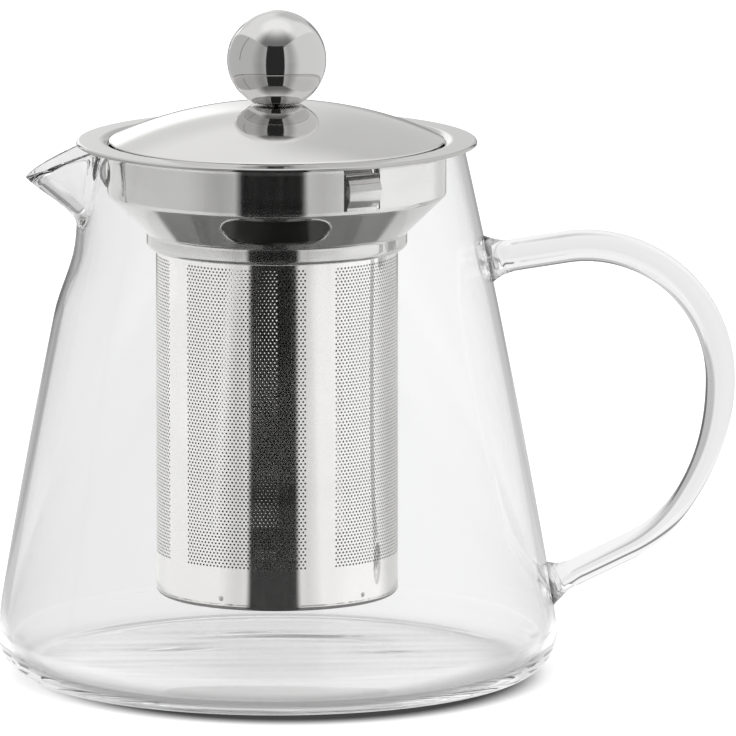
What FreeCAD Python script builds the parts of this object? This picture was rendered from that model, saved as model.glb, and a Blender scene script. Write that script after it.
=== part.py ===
import FreeCAD, Part
import math
import os

import Sketcher

# Glass teapot with a lift-out strainer and a lid, in millimetres.
# The pot's axis is Z and its foot stands on Z = 0. The lip points along -X and the handle along +X.

doc = FreeCAD.newDocument("Teapot")

# Driving dimensions: name, value, what it measures
SIZES = [
    ("rim_radius", 44.2, "outside of the glass at the rim"),
    ("rim_height", 127.0, "top of the rim"),
    ("glass_wall", 2.1, "glass thickness at the neck and side"),
    ("taper", 0.2235, "how fast the glass widens below the rim"),
    ("taper_fade", 0.00024, "how the taper fades towards the foot"),
    ("neck_height", 106.0, "where the plain cone passes into the neck with the lip"),
    ("side_bow", 2100.0, "radius of the slightly bowed side"),
    ("heel_radius", 10.0, "round heel at the foot"),
    ("heel_lean", 9.7, "lean of the side above the heel, in degrees"),
    ("foot_radius", 56.8, "outside of the flat foot ring"),
    ("foot_inner", 40.0, "inside of the flat foot ring"),
    ("foot_hollow", 1.0, "rise of the hollow under the foot"),
    ("foot_slope", 12.0, "width of the sloping edge of that hollow"),
    ("floor_height", 3.0, "glass floor inside"),
    ("inner_heel", 7.0, "round heel inside"),
    ("lip_start", 107.5, "height where the pouring lip leaves the neck"),
    ("lip_full", 122.5, "height where the lip is fully out"),
    ("lip_reach", 16.0, "how far the lip is pulled out"),
    ("lip_spread", 20.0, "half angle of the lip, in degrees"),
    ("lip_inside", 0.92, "half angle of the lip inside, as a share of that outside"),
    ("lip_dip", 43.4, "distance from the axis where the rim starts to fall to the tip"),
    ("lip_fall", 0.426, "slope of the rim down to the tip of the lip"),
    ("lip_floor", 1.6, "how much higher the inside of the lip runs"),
    ("rim_round", 0.9, "rounding of the fire-polished rim, outside and inside"),
    ("handle_reach", 105.3, "middle of the rod at its furthest point"),
    ("handle_level", 70.4, "height of that point"),
    ("handle_top_arc", 32.0, "bend of the upper part"),
    ("handle_top_slope", 8.9, "fall of the upper run towards the pot, in degrees"),
    ("handle_mid_arc", 52.7, "bend below the furthest point"),
    ("handle_mid_turn", 33.2, "turn of that bend, in degrees"),
    ("handle_low_arc", 33.2, "bend of the lower part"),
    ("handle_low_turn", 30.8, "turn of that bend, in degrees"),
    ("rod_top", 7.6, "rod thickness along the upper run"),
    ("rod_side", 7.0, "rod thickness at the furthest point"),
    ("rod_thin", 5.2, "rod thickness where it was drawn out, lower down"),
    ("rod_low", 6.4, "rod thickness along the lower run"),
    ("rod_depth", 8.2, "rod width, front to back"),
    ("weld_spread", 4.0, "how much wider the weld pads are than the rod"),
    ("weld_length", 7.0, "length of each weld pad"),
    ("weld_sink", 0.12, "how far the thin end of a pad sinks into the rod"),
    ("weld_inset", 4.2, "how far the rod is run into the glass before it is cut to it"),
    ("sheet", 0.6, "steel sheet of collar and lid"),
    ("flange_radius", 47.5, "outside of the collar's flange"),
    ("flange_top", 127.9, "top of the flange"),
    ("flange_turn", 1.2, "height of the flange's turned edge"),
    ("roll_radius", 2.5, "roll from the flange into the collar wall"),
    ("collar_radius", 40.1, "outside of the collar wall"),
    ("shoulder_top", 115.2, "top of the conical shoulder"),
    ("shoulder_bend", 1.6, "larger radius of the bends above and below the shoulder"),
    ("spigot_radius", 30.9, "outside of the spigot below the shoulder"),
    ("spigot_height", 102.0, "bottom of the spigot"),
    ("spigot_bend", 1.6, "bend from the spigot to the tube"),
    ("slot_length", 25.0, "length of each slot in the shoulder"),
    ("slot_width", 9.4, "width of each slot"),
    ("slot_count", 3, "slots round the shoulder"),
    ("tongue_width", 9.6, "spring tongue"),
    ("tongue_foot", 116.4, "where a tongue leaves the wall"),
    ("tongue_knee", 120.6, "height of its knee"),
    ("tongue_tip", 125.0, "top of the tongue"),
    ("tongue_radius", 41.4, "radius of the knee"),
    ("tongue_gap", 0.5, "slit round a tongue"),
    ("tongue_sink", 0.05, "how far a tongue's foot sits below the outside of the wall"),
    ("tongue_azimuth", 30.0, "first tongue, in degrees from the front"),
    ("tube_radius", 28.7, "outside of the strainer tube"),
    ("tube_sheet", 0.4, "sheet of the strainer tube"),
    ("tube_bottom", 20.4, "lower end of the tube"),
    ("tube_top", 104.0, "upper end of the tube, inside the spigot"),
    ("base_bottom", 19.2, "underside of the strainer's base"),
    ("base_rim", 4.0, "height of the base's upturned rim"),
    ("lid_radius", 39.8, "outside of the lid"),
    ("lid_top", 136.6, "top of the dome"),
    ("dome_radius", 94.3, "radius of the dome"),
    ("lid_edge", 127.15, "underside of the lid's edge"),
    ("skirt_radius", 38.9, "outside of the skirt under the lid"),
    ("skirt_lip", 34.0, "inside of the skirt's welding lip"),
    ("skirt_bottom", 118.5, "bottom of the skirt"),
    ("ball_radius", 11.75, "knob"),
    ("ball_height", 147.3, "middle of the knob"),
    ("ball_wall", 1.0, "wall of the hollow knob"),
    ("ball_foot", 6.0, "radius of the knob's flat underside"),
    ("ball_neck", 4.4, "radius of the short neck that seats on the dome"),
    ("boss_radius", 4.8, "tapped boss inside the knob"),
    ("boss_top", 143.6, "top of the boss"),
    ("screw_radius", 1.9, "shank of the knob screw"),
    ("screw_top", 142.6, "end of the shank"),
    ("screw_hole", 2.2, "hole in the dome and the washer"),
    ("head_radius", 3.8, "screw head"),
    ("head_height", 2.4, "height of the screw head"),
    ("washer_radius", 6.0, "washer under the dome"),
    ("washer_bottom", 134.9, "underside of the washer"),
]

SHOULDER_ANGLE = 45.0  # fall of the collar's shoulder, in degrees
LIP_STEPS = 5  # points on a neck section from the middle of the lip to its side
BACK_STEPS = 26  # steps round the rest of a neck section
NECK_STEPS = 7  # rises between the neck's sections
SEAM = 0.002  # how far apart the pot and its neck may lie where they are fused
RIM_POINTS = 7  # points looked at along an edge to tell whether it lies on the rim
RIM_MATCH = 0.02  # how far such a point may lie from the rim
HALVINGS = 40  # halvings when a length is searched for

sheet = doc.addObject("Spreadsheet::Sheet", "Sizes")
for row, (name, value, meaning) in enumerate(SIZES, start=1):
    sheet.set(f"A{row}", meaning)
    sheet.set(f"B{row}", str(value))
    sheet.setAlias(f"B{row}", name)
doc.recompute()


class Size:
    """A length from the sheet, or one worked out from such lengths, with its expression."""

    def __init__(self, number, text):
        self.number = float(number)
        self.text = text

    def joined(self, other, sign, number):
        text = other.text if isinstance(other, Size) else repr(other)
        return Size(number, f"({self.text} {sign} {text})")

    def __add__(self, other):
        return self.joined(other, "+", self.number + plain(other))

    def __sub__(self, other):
        return self.joined(other, "-", self.number - plain(other))

    def __mul__(self, other):
        return self.joined(other, "*", self.number * plain(other))

    def __truediv__(self, other):
        return self.joined(other, "/", self.number / plain(other))

    def root(self):
        return Size(math.sqrt(self.number), f"sqrt({self.text})")


def plain(value):
    return value.number if isinstance(value, Size) else value


def size(name):
    return Size(sheet.get(name), f"Sizes.{name}")


def number(name):
    return float(sheet.get(name))


ZERO = Size(0.0, "0")


def on_sphere(radius, middle, out):
    """Height of a sphere round the axis at a distance from it."""
    return middle + (radius * radius - out * out).root()


def origin_plane(body, role):
    return next(item for item in body.Origin.OriginFeatures if item.Role == role)


def new_sketch(body, name, role="XZ_Plane", offset=FreeCAD.Placement()):
    sketch = body.newObject("Sketcher::SketchObject", name)
    sketch.AttachmentSupport = (origin_plane(body, role), [""])
    sketch.MapMode = "FlatFace"
    sketch.AttachmentOffset = offset
    return sketch


def arc_middle(start, end, radius, turn):
    """Middle of the arc from start to end that turns left (1) or right (-1)."""
    chord = end - start
    half = chord.Length / 2
    across = FreeCAD.Vector(-chord.y, chord.x, 0) * (turn / chord.Length)
    return (start + end) / 2 + across * math.sqrt(radius**2 - half**2)


def draw_outline(sketch, corners):
    """Draws a closed outline. A corner is (x, y), or (x, y, radius, turn) where an arc follows it."""
    points = [FreeCAD.Vector(plain(c[0]), plain(c[1]), 0) for c in corners]
    starts = []
    for index, corner in enumerate(corners):
        here = points[index]
        there = points[(index + 1) % len(points)]
        if len(corner) == 2:
            geometry = sketch.addGeometry(Part.LineSegment(here, there), False)
            starts.append((geometry, 1, 2))
            continue
        radius, turn = corner[2], corner[3]
        middle = arc_middle(here, there, radius.number, turn)
        first, last = (here, there) if turn > 0 else (there, here)
        circle = Part.Circle(middle, FreeCAD.Vector(0, 0, 1), radius.number)
        arc = Part.ArcOfCircle(circle, circle.parameter(first), circle.parameter(last))
        geometry = sketch.addGeometry(arc, False)
        starts.append((geometry, 1, 2) if turn > 0 else (geometry, 2, 1))
        bind(sketch, Sketcher.Constraint("Radius", geometry, radius.number), radius)
    for index, (geometry, head, tail) in enumerate(starts):
        after = starts[(index + 1) % len(starts)]
        sketch.addConstraint(Sketcher.Constraint("Coincident", geometry, tail, after[0], after[1]))
        place_point(sketch, geometry, head, "DistanceX", corners[index][0], -2)
        place_point(sketch, geometry, head, "DistanceY", corners[index][1], -1)


def place_point(sketch, geometry, end, kind, value, axis):
    if value.number == 0:
        sketch.addConstraint(Sketcher.Constraint("PointOnObject", geometry, end, axis))
        return
    bind(sketch, Sketcher.Constraint(kind, -1, 1, geometry, end, value.number), value)


def bind(sketch, constraint, value):
    index = sketch.addConstraint(constraint)
    sketch.setExpression(f"Constraints[{index}]", value.text)


def revolved_body(label, corners):
    """A body turned about Z from its half section in the XZ plane."""
    body = doc.addObject("PartDesign::Body", label)
    body.Label = label
    sketch = new_sketch(body, f"{label}_section")
    draw_outline(sketch, corners)
    turn = body.newObject("PartDesign::Revolution", f"{label}_turned")
    turn.Profile = sketch
    turn.ReferenceAxis = (sketch, ["V_Axis"])
    turn.Angle = 360.0
    body.Tip = turn
    doc.recompute()
    return body


def glass_radius(height, rim, top, taper, fade):
    drop = top - height
    return rim + taper * drop - fade * (drop * drop)


def outside_radius(height):
    names = ("rim_radius", "rim_height", "taper", "taper_fade")
    return glass_radius(height, *(number(name) for name in names))


# Lower pot: foot ring, heel, cone and floor
lean = math.radians(number("heel_lean"))
heel = size("heel_radius")
heel_in = size("inner_heel")
foot_out = size("foot_radius")
floor = size("floor_height")
bow = size("side_bow")
wall = size("glass_wall")
neck_out = glass_radius(
    size("neck_height"), size("rim_radius"), size("rim_height"), size("taper"), size("taper_fade")
)
foot_in = size("foot_inner")
hollow = size("foot_hollow")
slope = size("foot_slope")
inner_heel_middle = foot_out + heel - wall - heel_in
lower_pot = revolved_body(
    "pot_lower",
    [
        (ZERO, hollow),
        (foot_in - slope, hollow, (slope * slope + hollow * hollow) / (hollow * 2), -1),
        (foot_in, ZERO),
        (foot_out, ZERO, heel, 1),
        (foot_out + heel * math.cos(lean), heel + heel * math.sin(lean), bow, 1),
        (neck_out, size("neck_height")),
        (neck_out - wall, size("neck_height"), bow, -1),
        (inner_heel_middle + heel_in * math.cos(lean), floor + heel_in * (1 + math.sin(lean)), heel_in, -1),
        (inner_heel_middle, floor),
        (ZERO, floor),
    ],
)


# Neck with the pouring lip: closed sections at rising heights, round except where the lip is pulled out
def eased(share):
    share = min(max(share, 0.0), 1.0)
    return share * share * (3 - 2 * share)


def lip_pull(height):
    rise = (height - number("lip_start")) / (number("lip_full") - number("lip_start"))
    return number("lip_reach") * eased(rise)


def lip_share(angle, spread):
    if abs(angle) >= spread:
        return 0.0
    return math.cos(math.pi / 2 * angle / spread) ** 2


def section_angles():
    """Degrees from the middle of the lip: close together across the lip, further apart round the back."""
    close = number("lip_spread") / LIP_STEPS
    side = number("lip_spread") + close
    wide = (360 - 2 * side) / BACK_STEPS
    across = [step * close for step in range(-LIP_STEPS - 1, LIP_STEPS + 2)]
    return across + [side + step * wide for step in range(1, BACK_STEPS)]


def neck_section(height, inset, pull, spread):
    points = []
    for angle in section_angles():
        short = (angle + 180) % 360 - 180
        radius = outside_radius(height) - inset + pull * lip_share(short, spread)
        turned = math.radians(180 + angle)
        points.append(FreeCAD.Vector(radius * math.cos(turned), radius * math.sin(turned), height))
    curve = Part.BSplineCurve()
    curve.interpolate(points, PeriodicFlag=True)
    return Part.Wire([curve.toShape()])


def neck_solid():
    spread = number("lip_spread")
    low = number("neck_height")
    top = number("rim_height")
    margin = 1.0
    rise = (top + margin - low) / NECK_STEPS
    outer = []
    for step in range(NECK_STEPS + 1):
        height = low + rise * step
        outer.append(neck_section(height, 0.0, lip_pull(height), spread))
    inner = []
    for step in range(-1, NECK_STEPS + 2):
        height = low + rise * step
        pull = lip_pull(height - number("lip_floor"))
        inner.append(neck_section(height, number("glass_wall"), pull, spread * number("lip_inside")))
    solid = Part.makeLoft(outer, True, False).cut(Part.makeLoft(inner, True, False))
    dip = number("lip_dip")
    reach = number("rim_radius") + 2 * number("lip_reach")
    above = Part.makeBox(2 * reach, 2 * reach, 2 * margin, FreeCAD.Vector(-reach, -reach, top))
    fall = Part.makePolygon(
        [
            FreeCAD.Vector(-dip, -reach, top),
            FreeCAD.Vector(-reach, -reach, top - (reach - dip) * number("lip_fall")),
            FreeCAD.Vector(-reach, -reach, top + 2 * margin),
            FreeCAD.Vector(-dip, -reach, top + 2 * margin),
            FreeCAD.Vector(-dip, -reach, top),
        ]
    )
    wedge = Part.Face(fall).extrude(FreeCAD.Vector(0, 2 * reach, 0))
    return solid.cut(above.fuse(wedge))


def rim_edges(shape):
    """Edges of the rim: along its outside and inside, and across it where it starts to fall to the lip."""
    found = []
    for edge in shape.Edges:
        misses = []
        for point in edge.discretize(RIM_POINTS):
            fall = number("lip_fall") * max(0.0, -point.x - number("lip_dip"))
            misses.append(abs(point.z - number("rim_height") + fall))
        if max(misses) < RIM_MATCH:
            found.append(edge)
    return found


blown = lower_pot.Shape.fuse([neck_solid()], SEAM).removeSplitter()
pot = doc.addObject("Part::Feature", "pot_body")
pot.Label = "pot_body"
pot.Shape = blown.makeFillet(number("rim_round"), rim_edges(blown))


# Handle: an oval rod along tangent arcs, thinner where it was drawn out, with a weld pad at each end
class Run:
    """One stretch of the rod's middle line: a straight or an arc that turns right."""

    def __init__(self, start, heading, length, radius=None):
        self.start = start
        self.heading = heading
        self.length = length
        self.radius = radius

    def at(self, distance):
        """Point and heading at a distance along the stretch."""
        if self.radius is None:
            return self.start + direction(self.heading) * distance, self.heading
        turned = self.heading - distance / self.radius
        middle = self.start + direction(self.heading - math.pi / 2) * self.radius
        return middle + direction(turned + math.pi / 2) * self.radius, turned

    def end(self):
        return self.at(self.length)

    def edge(self):
        first = self.at(0.0)[0]
        last = self.end()[0]
        if self.radius is None:
            return Part.LineSegment(first, last).toShape()
        return Part.Arc(first, self.at(self.length / 2)[0], last).toShape()


def direction(heading):
    return FreeCAD.Vector(math.cos(heading), 0, math.sin(heading))


def distance_to_glass(point, heading):
    """Distance from a point outside the pot to its outside, along a heading."""
    near, far = 0.0, number("handle_reach")
    for _ in range(HALVINGS):
        middle = (near + far) / 2
        spot = point + direction(heading) * middle
        if spot.x > outside_radius(spot.z):
            near = middle
        else:
            far = middle
    return near


def handle_runs():
    """The rod's middle line from the upper weld to the lower one, run into the glass at both ends."""
    slope = math.radians(number("handle_top_slope"))
    inset = number("weld_inset")
    top = number("handle_top_arc")
    bend_middle = FreeCAD.Vector(number("handle_reach") - top, 0, number("handle_level"))
    bend_start = bend_middle + direction(slope + math.pi / 2) * top
    length = distance_to_glass(bend_start, slope + math.pi) + inset
    runs = [Run(bend_start - direction(slope) * length, slope, length)]
    bends = [
        (top, slope + math.pi / 2),
        (number("handle_mid_arc"), math.radians(number("handle_mid_turn"))),
        (number("handle_low_arc"), math.radians(number("handle_low_turn"))),
    ]
    for radius, turn in bends:
        runs.append(Run(*runs[-1].end(), radius * turn, radius))
    point, heading = runs[-1].end()
    runs.append(Run(point, heading, distance_to_glass(point, heading) + inset))
    return runs


def rod_section(point, heading, thickness):
    across = direction(heading + math.pi / 2) * (number(thickness) / 2)
    deep = FreeCAD.Vector(0, number("rod_depth") / 2, 0)
    return Part.Wire([Part.Ellipse(point + deep, point + across, point).toShape()])


def rod_solid(runs):
    """The rod, swept along its middle line through an oval section at the end of each stretch."""
    thicknesses = ("rod_top", "rod_side", "rod_thin", "rod_low", "rod_low")
    sections = [rod_section(*runs[0].at(0.0), "rod_top")]
    for run, thickness in zip(runs, thicknesses):
        sections.append(rod_section(*run.end(), thickness))
    path = Part.Wire([run.edge() for run in runs])
    return path.makePipeShell(sections, True, False)


def weld_pad(label, point, heading, thickness):
    """A trumpet-shaped pad round the rod where it meets the glass. Heading points away from the pot."""
    length = size("weld_length")
    thin = size(thickness) / 2 - size("weld_sink")
    wide = size(thickness) / 2 + size("weld_spread") / 2
    spread = wide - thin
    flare = (spread * spread + length * length) / (spread * 2)
    pad = revolved_body(
        label,
        [
            (ZERO, ZERO - size("weld_inset")),
            (wide, ZERO - size("weld_inset")),
            (wide, ZERO, flare, -1),
            (thin, length),
            (ZERO, length),
        ],
    )
    turned = FreeCAD.Rotation(FreeCAD.Vector(0, 0, 1), direction(heading))
    pad.Placement = FreeCAD.Placement(point, turned)
    return pad


handle_line = handle_runs()
upper_point, upper_heading = handle_line[0].at(number("weld_inset"))
lower_point, lower_heading = handle_line[-1].at(handle_line[-1].length - number("weld_inset"))
upper_pad = weld_pad("upper_pad", upper_point, upper_heading, "rod_top")
lower_pad = weld_pad("lower_pad", lower_point, lower_heading + math.pi, "rod_low")
doc.recompute()
welded = rod_solid(handle_line).fuse([upper_pad.Shape, lower_pad.Shape]).cut(lower_pot.Shape)
handle = doc.addObject("Part::Feature", "handle")
handle.Label = "handle"
handle.Shape = max(welded.Solids, key=lambda solid: solid.Volume)


# Collar of the strainer: flange with a turned edge, rolled mouth, wall, conical shoulder and spigot
gauge = size("sheet")
flange = size("flange_radius")
flange_top = size("flange_top")
roll = size("roll_radius")
collar_out = size("collar_radius")
collar_in = collar_out - gauge
shoulder = size("shoulder_top")
spigot = size("spigot_radius")
spigot_low = size("spigot_height")
bend = size("spigot_bend")
tube_out = size("tube_radius")
half_tangent = math.tan(math.radians(SHOULDER_ANGLE) / 2)
slant = gauge * half_tangent
shoulder_low = shoulder - (collar_out - spigot)
wide_bend = size("shoulder_bend")
tight_bend = wide_bend - gauge
wide_start = wide_bend * half_tangent
tight_start = tight_bend * half_tangent
wide_side = wide_start * math.cos(math.radians(SHOULDER_ANGLE))
tight_side = tight_start * math.cos(math.radians(SHOULDER_ANGLE))
collar = revolved_body(
    "infuser_collar",
    [
        (flange - gauge, flange_top, gauge, -1),
        (flange, flange_top - gauge),
        (flange, flange_top - size("flange_turn")),
        (flange - gauge, flange_top - size("flange_turn")),
        (flange - gauge, flange_top - gauge),
        (collar_in + roll, flange_top - gauge, roll - gauge, 1),
        (collar_out, flange_top - roll),
        (collar_out, shoulder + wide_start, wide_bend, -1),
        (collar_out - wide_side, shoulder - wide_side),
        (spigot + tight_side, shoulder_low + tight_side, tight_bend, 1),
        (spigot, shoulder_low - tight_start),
        (spigot, spigot_low + bend, bend, -1),
        (spigot - bend, spigot_low),
        (tube_out, spigot_low),
        (tube_out, spigot_low + gauge),
        (spigot - bend, spigot_low + gauge, bend - gauge, 1),
        (spigot - gauge, spigot_low + bend),
        (spigot - gauge, shoulder_low + slant - wide_start, wide_bend, -1),
        (spigot - gauge + wide_side, shoulder_low + slant + wide_side),
        (collar_in - tight_side, shoulder + slant - tight_side, tight_bend, 1),
        (collar_in, shoulder + slant + tight_start),
        (collar_in, flange_top - roll, roll, -1),
        (collar_in + roll, flange_top),
    ],
)


def round_z(body, features, count):
    """Repeats features of a body evenly about Z."""
    pattern = body.newObject("PartDesign::PolarPattern", f"{features[-1].Name}_round")
    pattern.Originals = features
    pattern.Axis = (next(item for item in body.Origin.OriginFeatures if item.Role == "Z_Axis"), [""])
    pattern.Angle = 360.0
    pattern.setExpression("Occurrences", count.text)
    body.Tip = pattern
    doc.recompute()
    return pattern


def symmetric(body, kind, name, sketch, length):
    feature = body.newObject(f"PartDesign::{kind}", name)
    feature.Profile = sketch
    feature.SideType = "Symmetric"
    feature.setExpression("Length", length.text)
    body.Tip = feature
    doc.recompute()
    return feature


def cut_slots():
    """Pill-shaped slots through the shoulder, cut square to it. One faces the front."""
    middle = (collar_out + spigot) / 2
    height = shoulder - (collar_out - middle)
    tilt = FreeCAD.Rotation(FreeCAD.Vector(1, 0, 0), -SHOULDER_ANGLE)
    offset = FreeCAD.Placement(FreeCAD.Vector(0, -middle.number, height.number), tilt)
    sketch = new_sketch(collar, "slot_outline", "XY_Plane", offset)
    half = size("slot_width") / 2
    run = (size("slot_length") - size("slot_width")) / 2
    up = FreeCAD.Vector(0, 0, 1)
    right = Part.Circle(FreeCAD.Vector(run.number, 0, 0), up, half.number)
    left = Part.Circle(FreeCAD.Vector(-run.number, 0, 0), up, half.number)
    quarter = math.pi / 2
    ends = [
        sketch.addGeometry(Part.ArcOfCircle(right, -quarter, quarter), False),
        sketch.addGeometry(Part.ArcOfCircle(left, quarter, 3 * quarter), False),
    ]
    sides = []
    for sign in (1, -1):
        near = FreeCAD.Vector(sign * run.number, sign * half.number, 0)
        far = FreeCAD.Vector(-sign * run.number, sign * half.number, 0)
        sides.append(sketch.addGeometry(Part.LineSegment(near, far), False))
    sketch.addConstraint(Sketcher.Constraint("Tangent", ends[0], 2, sides[0], 1))
    sketch.addConstraint(Sketcher.Constraint("Tangent", sides[0], 2, ends[1], 1))
    sketch.addConstraint(Sketcher.Constraint("Tangent", ends[1], 2, sides[1], 1))
    sketch.addConstraint(Sketcher.Constraint("Tangent", sides[1], 2, ends[0], 1))
    sketch.addConstraint(Sketcher.Constraint("PointOnObject", ends[0], 3, -1))
    sketch.addConstraint(Sketcher.Constraint("Symmetric", ends[0], 3, ends[1], 3, -1, 1))
    bind(sketch, Sketcher.Constraint("Radius", ends[0], half.number), half)
    bind(sketch, Sketcher.Constraint("DistanceX", -1, 1, ends[0], 3, run.number), run)
    before = collar.Shape.Volume
    slot = symmetric(collar, "Pocket", "slot", sketch, size("slot_width"))
    round_z(collar, [slot], size("slot_count"))
    assert collar.Shape.Volume < before, "the slots cut nothing"


def spring_tongues():
    """Lanced tongues: a window in the wall with a bent strip that stays joined at its foot."""
    heading = FreeCAD.Rotation(FreeCAD.Vector(0, 1, 0), number("tongue_azimuth") - 90)
    offset = FreeCAD.Placement(FreeCAD.Vector(), heading)
    foot, knee, tip = size("tongue_foot"), size("tongue_knee"), size("tongue_tip")
    gap = size("tongue_gap")
    knee_out = size("tongue_radius")
    window = new_sketch(collar, "window_outline", "XZ_Plane", offset)
    draw_outline(
        window,
        [
            (collar_in - gap * 2, foot),
            (knee_out, foot),
            (knee_out, tip + gap),
            (collar_in - gap * 2, tip + gap),
        ],
    )
    opening = symmetric(collar, "Pocket", "window", window, size("tongue_width") + gap * 2)
    strip = new_sketch(collar, "tongue_outline", "XZ_Plane", offset)
    draw_outline(
        strip,
        [
            (collar_in, foot - gauge),
            (collar_out - size("tongue_sink"), foot - gauge),
            (collar_out - size("tongue_sink"), foot),
            (knee_out, knee),
            (collar_out, tip),
            (collar_in, tip),
            (knee_out - gauge, knee),
            (collar_in, foot),
        ],
    )
    tongue = symmetric(collar, "Pad", "tongue", strip, size("tongue_width"))
    round_z(collar, [opening, tongue], size("slot_count"))


cut_slots()
spring_tongues()

# Strainer tube and its base cup, which is spot-welded inside the tube
tube_gauge = size("tube_sheet")
tube_in = tube_out - tube_gauge
tube = revolved_body(
    "strainer_tube",
    [
        (tube_in, size("tube_bottom")),
        (tube_out, size("tube_bottom")),
        (tube_out, size("tube_top")),
        (tube_in, size("tube_top")),
    ],
)
base_low = size("base_bottom")
base_bend = size("tube_bottom") - base_low
base_inside = tube_in - tube_gauge
base = revolved_body(
    "strainer_base",
    [
        (ZERO, base_low),
        (tube_out - base_bend, base_low, base_bend, 1),
        (tube_out, size("tube_bottom")),
        (tube_in, size("tube_bottom")),
        (tube_in, size("tube_bottom") + size("base_rim")),
        (base_inside, size("tube_bottom") + size("base_rim")),
        (base_inside, size("tube_bottom"), base_bend - tube_gauge, -1),
        (base_inside - base_bend + tube_gauge, base_low + tube_gauge),
        (ZERO, base_low + tube_gauge),
    ],
)

# Lid: dome, skirt welded under it, and a ball knob held by a screw from below
dome = size("dome_radius")
dome_in = dome - gauge
dome_middle = size("lid_top") - dome
hole = size("screw_hole")
lid_out = size("lid_radius")
edge_round = gauge / 2
lid = revolved_body(
    "lid_dome",
    [
        (hole, on_sphere(dome_in, dome_middle, hole)),
        (hole, on_sphere(dome, dome_middle, hole), dome, -1),
        (lid_out - edge_round, on_sphere(dome, dome_middle, lid_out - edge_round), edge_round, -1),
        (lid_out, on_sphere(dome, dome_middle, lid_out - edge_round) - edge_round),
        (lid_out, size("lid_edge")),
        (lid_out - edge_round, on_sphere(dome_in, dome_middle, lid_out - edge_round), dome_in, 1),
    ],
)
skirt_out = size("skirt_radius")
skirt_in = skirt_out - gauge
skirt_lip = size("skirt_lip")
lip_under = dome_in - gauge
skirt = revolved_body(
    "lid_skirt",
    [
        (skirt_lip, on_sphere(dome_in, dome_middle, skirt_lip), dome_in, -1),
        (skirt_out, on_sphere(dome_in, dome_middle, skirt_out)),
        (skirt_out, size("skirt_bottom")),
        (skirt_in, size("skirt_bottom")),
        (skirt_in, on_sphere(lip_under, dome_middle, skirt_in), lip_under, 1),
        (skirt_lip, on_sphere(lip_under, dome_middle, skirt_lip)),
    ],
)
ball = size("ball_radius")
ball_inside = ball - size("ball_wall")
ball_middle = size("ball_height")
shank = size("screw_radius")
underside = size("ball_foot")
underside_height = ball_middle - (ball * ball - underside * underside).root()
neck = size("ball_neck")
boss = size("boss_radius")
knob = revolved_body(
    "knob_ball",
    [
        (shank, on_sphere(dome, dome_middle, shank), dome, -1),
        (neck, on_sphere(dome, dome_middle, neck)),
        (neck, underside_height),
        (underside, underside_height, ball, 1),
        (ball, ball_middle, ball, 1),
        (ZERO, ball_middle + ball),
        (ZERO, ball_middle + ball_inside, ball_inside, -1),
        (ball_inside, ball_middle, ball_inside, -1),
        (boss, ball_middle - (ball_inside * ball_inside - boss * boss).root()),
        (boss, size("boss_top")),
        (shank, size("boss_top")),
    ],
)
washer_out = size("washer_radius")
washer = revolved_body(
    "knob_washer",
    [
        (hole, on_sphere(dome_in, dome_middle, hole), dome_in, -1),
        (washer_out, on_sphere(dome_in, dome_middle, washer_out)),
        (washer_out, size("washer_bottom")),
        (hole, size("washer_bottom")),
    ],
)
head = size("head_radius")
head_low = size("washer_bottom") - size("head_height")
head_round = size("head_height") / 2
screw = revolved_body(
    "knob_screw",
    [
        (ZERO, head_low),
        (head - head_round, head_low, head_round, 1),
        (head, head_low + head_round),
        (head, size("washer_bottom")),
        (shank, size("washer_bottom")),
        (shank, size("screw_top")),
        (ZERO, size("screw_top")),
    ],
)

doc.recompute()
for item in doc.Objects:
    assert "Invalid" not in item.State and "Error" not in item.State, f"{item.Name} failed: {item.State}"

os.makedirs("parts", exist_ok=True)
for node in (pot, handle, collar, tube, base, lid, skirt, knob, washer, screw):
    shape = node.Shape
    assert not shape.isNull() and shape.isValid(), f"{node.Label} is not a valid solid"
    assert len(shape.Solids) == 1 and shape.Volume > 0, f"{node.Label} is not one closed solid"
    shape.exportStep(f"parts/{node.Label}.step")
    print(node.Label, len(shape.Solids), round(shape.Volume, 1))
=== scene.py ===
import math
from collections import namedtuple

import bmesh
import bpy
from mathutils import Matrix, Vector


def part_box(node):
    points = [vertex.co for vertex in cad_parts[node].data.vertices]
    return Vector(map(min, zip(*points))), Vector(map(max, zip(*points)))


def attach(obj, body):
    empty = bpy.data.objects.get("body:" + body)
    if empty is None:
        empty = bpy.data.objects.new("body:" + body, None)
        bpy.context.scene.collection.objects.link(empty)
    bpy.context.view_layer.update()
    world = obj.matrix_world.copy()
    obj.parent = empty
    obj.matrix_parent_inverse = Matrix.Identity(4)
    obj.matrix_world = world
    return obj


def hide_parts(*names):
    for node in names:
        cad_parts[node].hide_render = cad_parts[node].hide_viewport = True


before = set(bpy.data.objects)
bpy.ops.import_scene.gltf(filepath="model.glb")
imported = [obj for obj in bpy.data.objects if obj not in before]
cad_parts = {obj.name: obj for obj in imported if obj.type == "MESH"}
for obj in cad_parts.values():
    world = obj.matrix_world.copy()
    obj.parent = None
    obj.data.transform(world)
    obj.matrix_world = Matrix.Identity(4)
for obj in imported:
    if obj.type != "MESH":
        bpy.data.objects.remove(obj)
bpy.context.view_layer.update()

# Glass teapot with a steel strainer and lid. Shapes are worked out in millimetres and built in metres.
MM = 0.001
TURN = 240  # steps round a turned piece, and round a wide one
WIDE_TURN = 288
BEND_STEP = math.radians(9)  # step along a bend of an outline
BEND_GUARD = 0.12  # distance of the close point on each side of a bend
EDGE_STEPS = 6  # steps round the half-round edge of a sheet
SMOOTH_ANGLE = math.radians(32)  # sharper edges than this keep a crease


def top(node):
    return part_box(node)[1].z / MM


def bottom(node):
    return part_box(node)[0].z / MM


def half_width(node):
    """Half the front-to-back width of a node, which is the radius of a turned one."""
    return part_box(node)[1].y / MM


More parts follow.
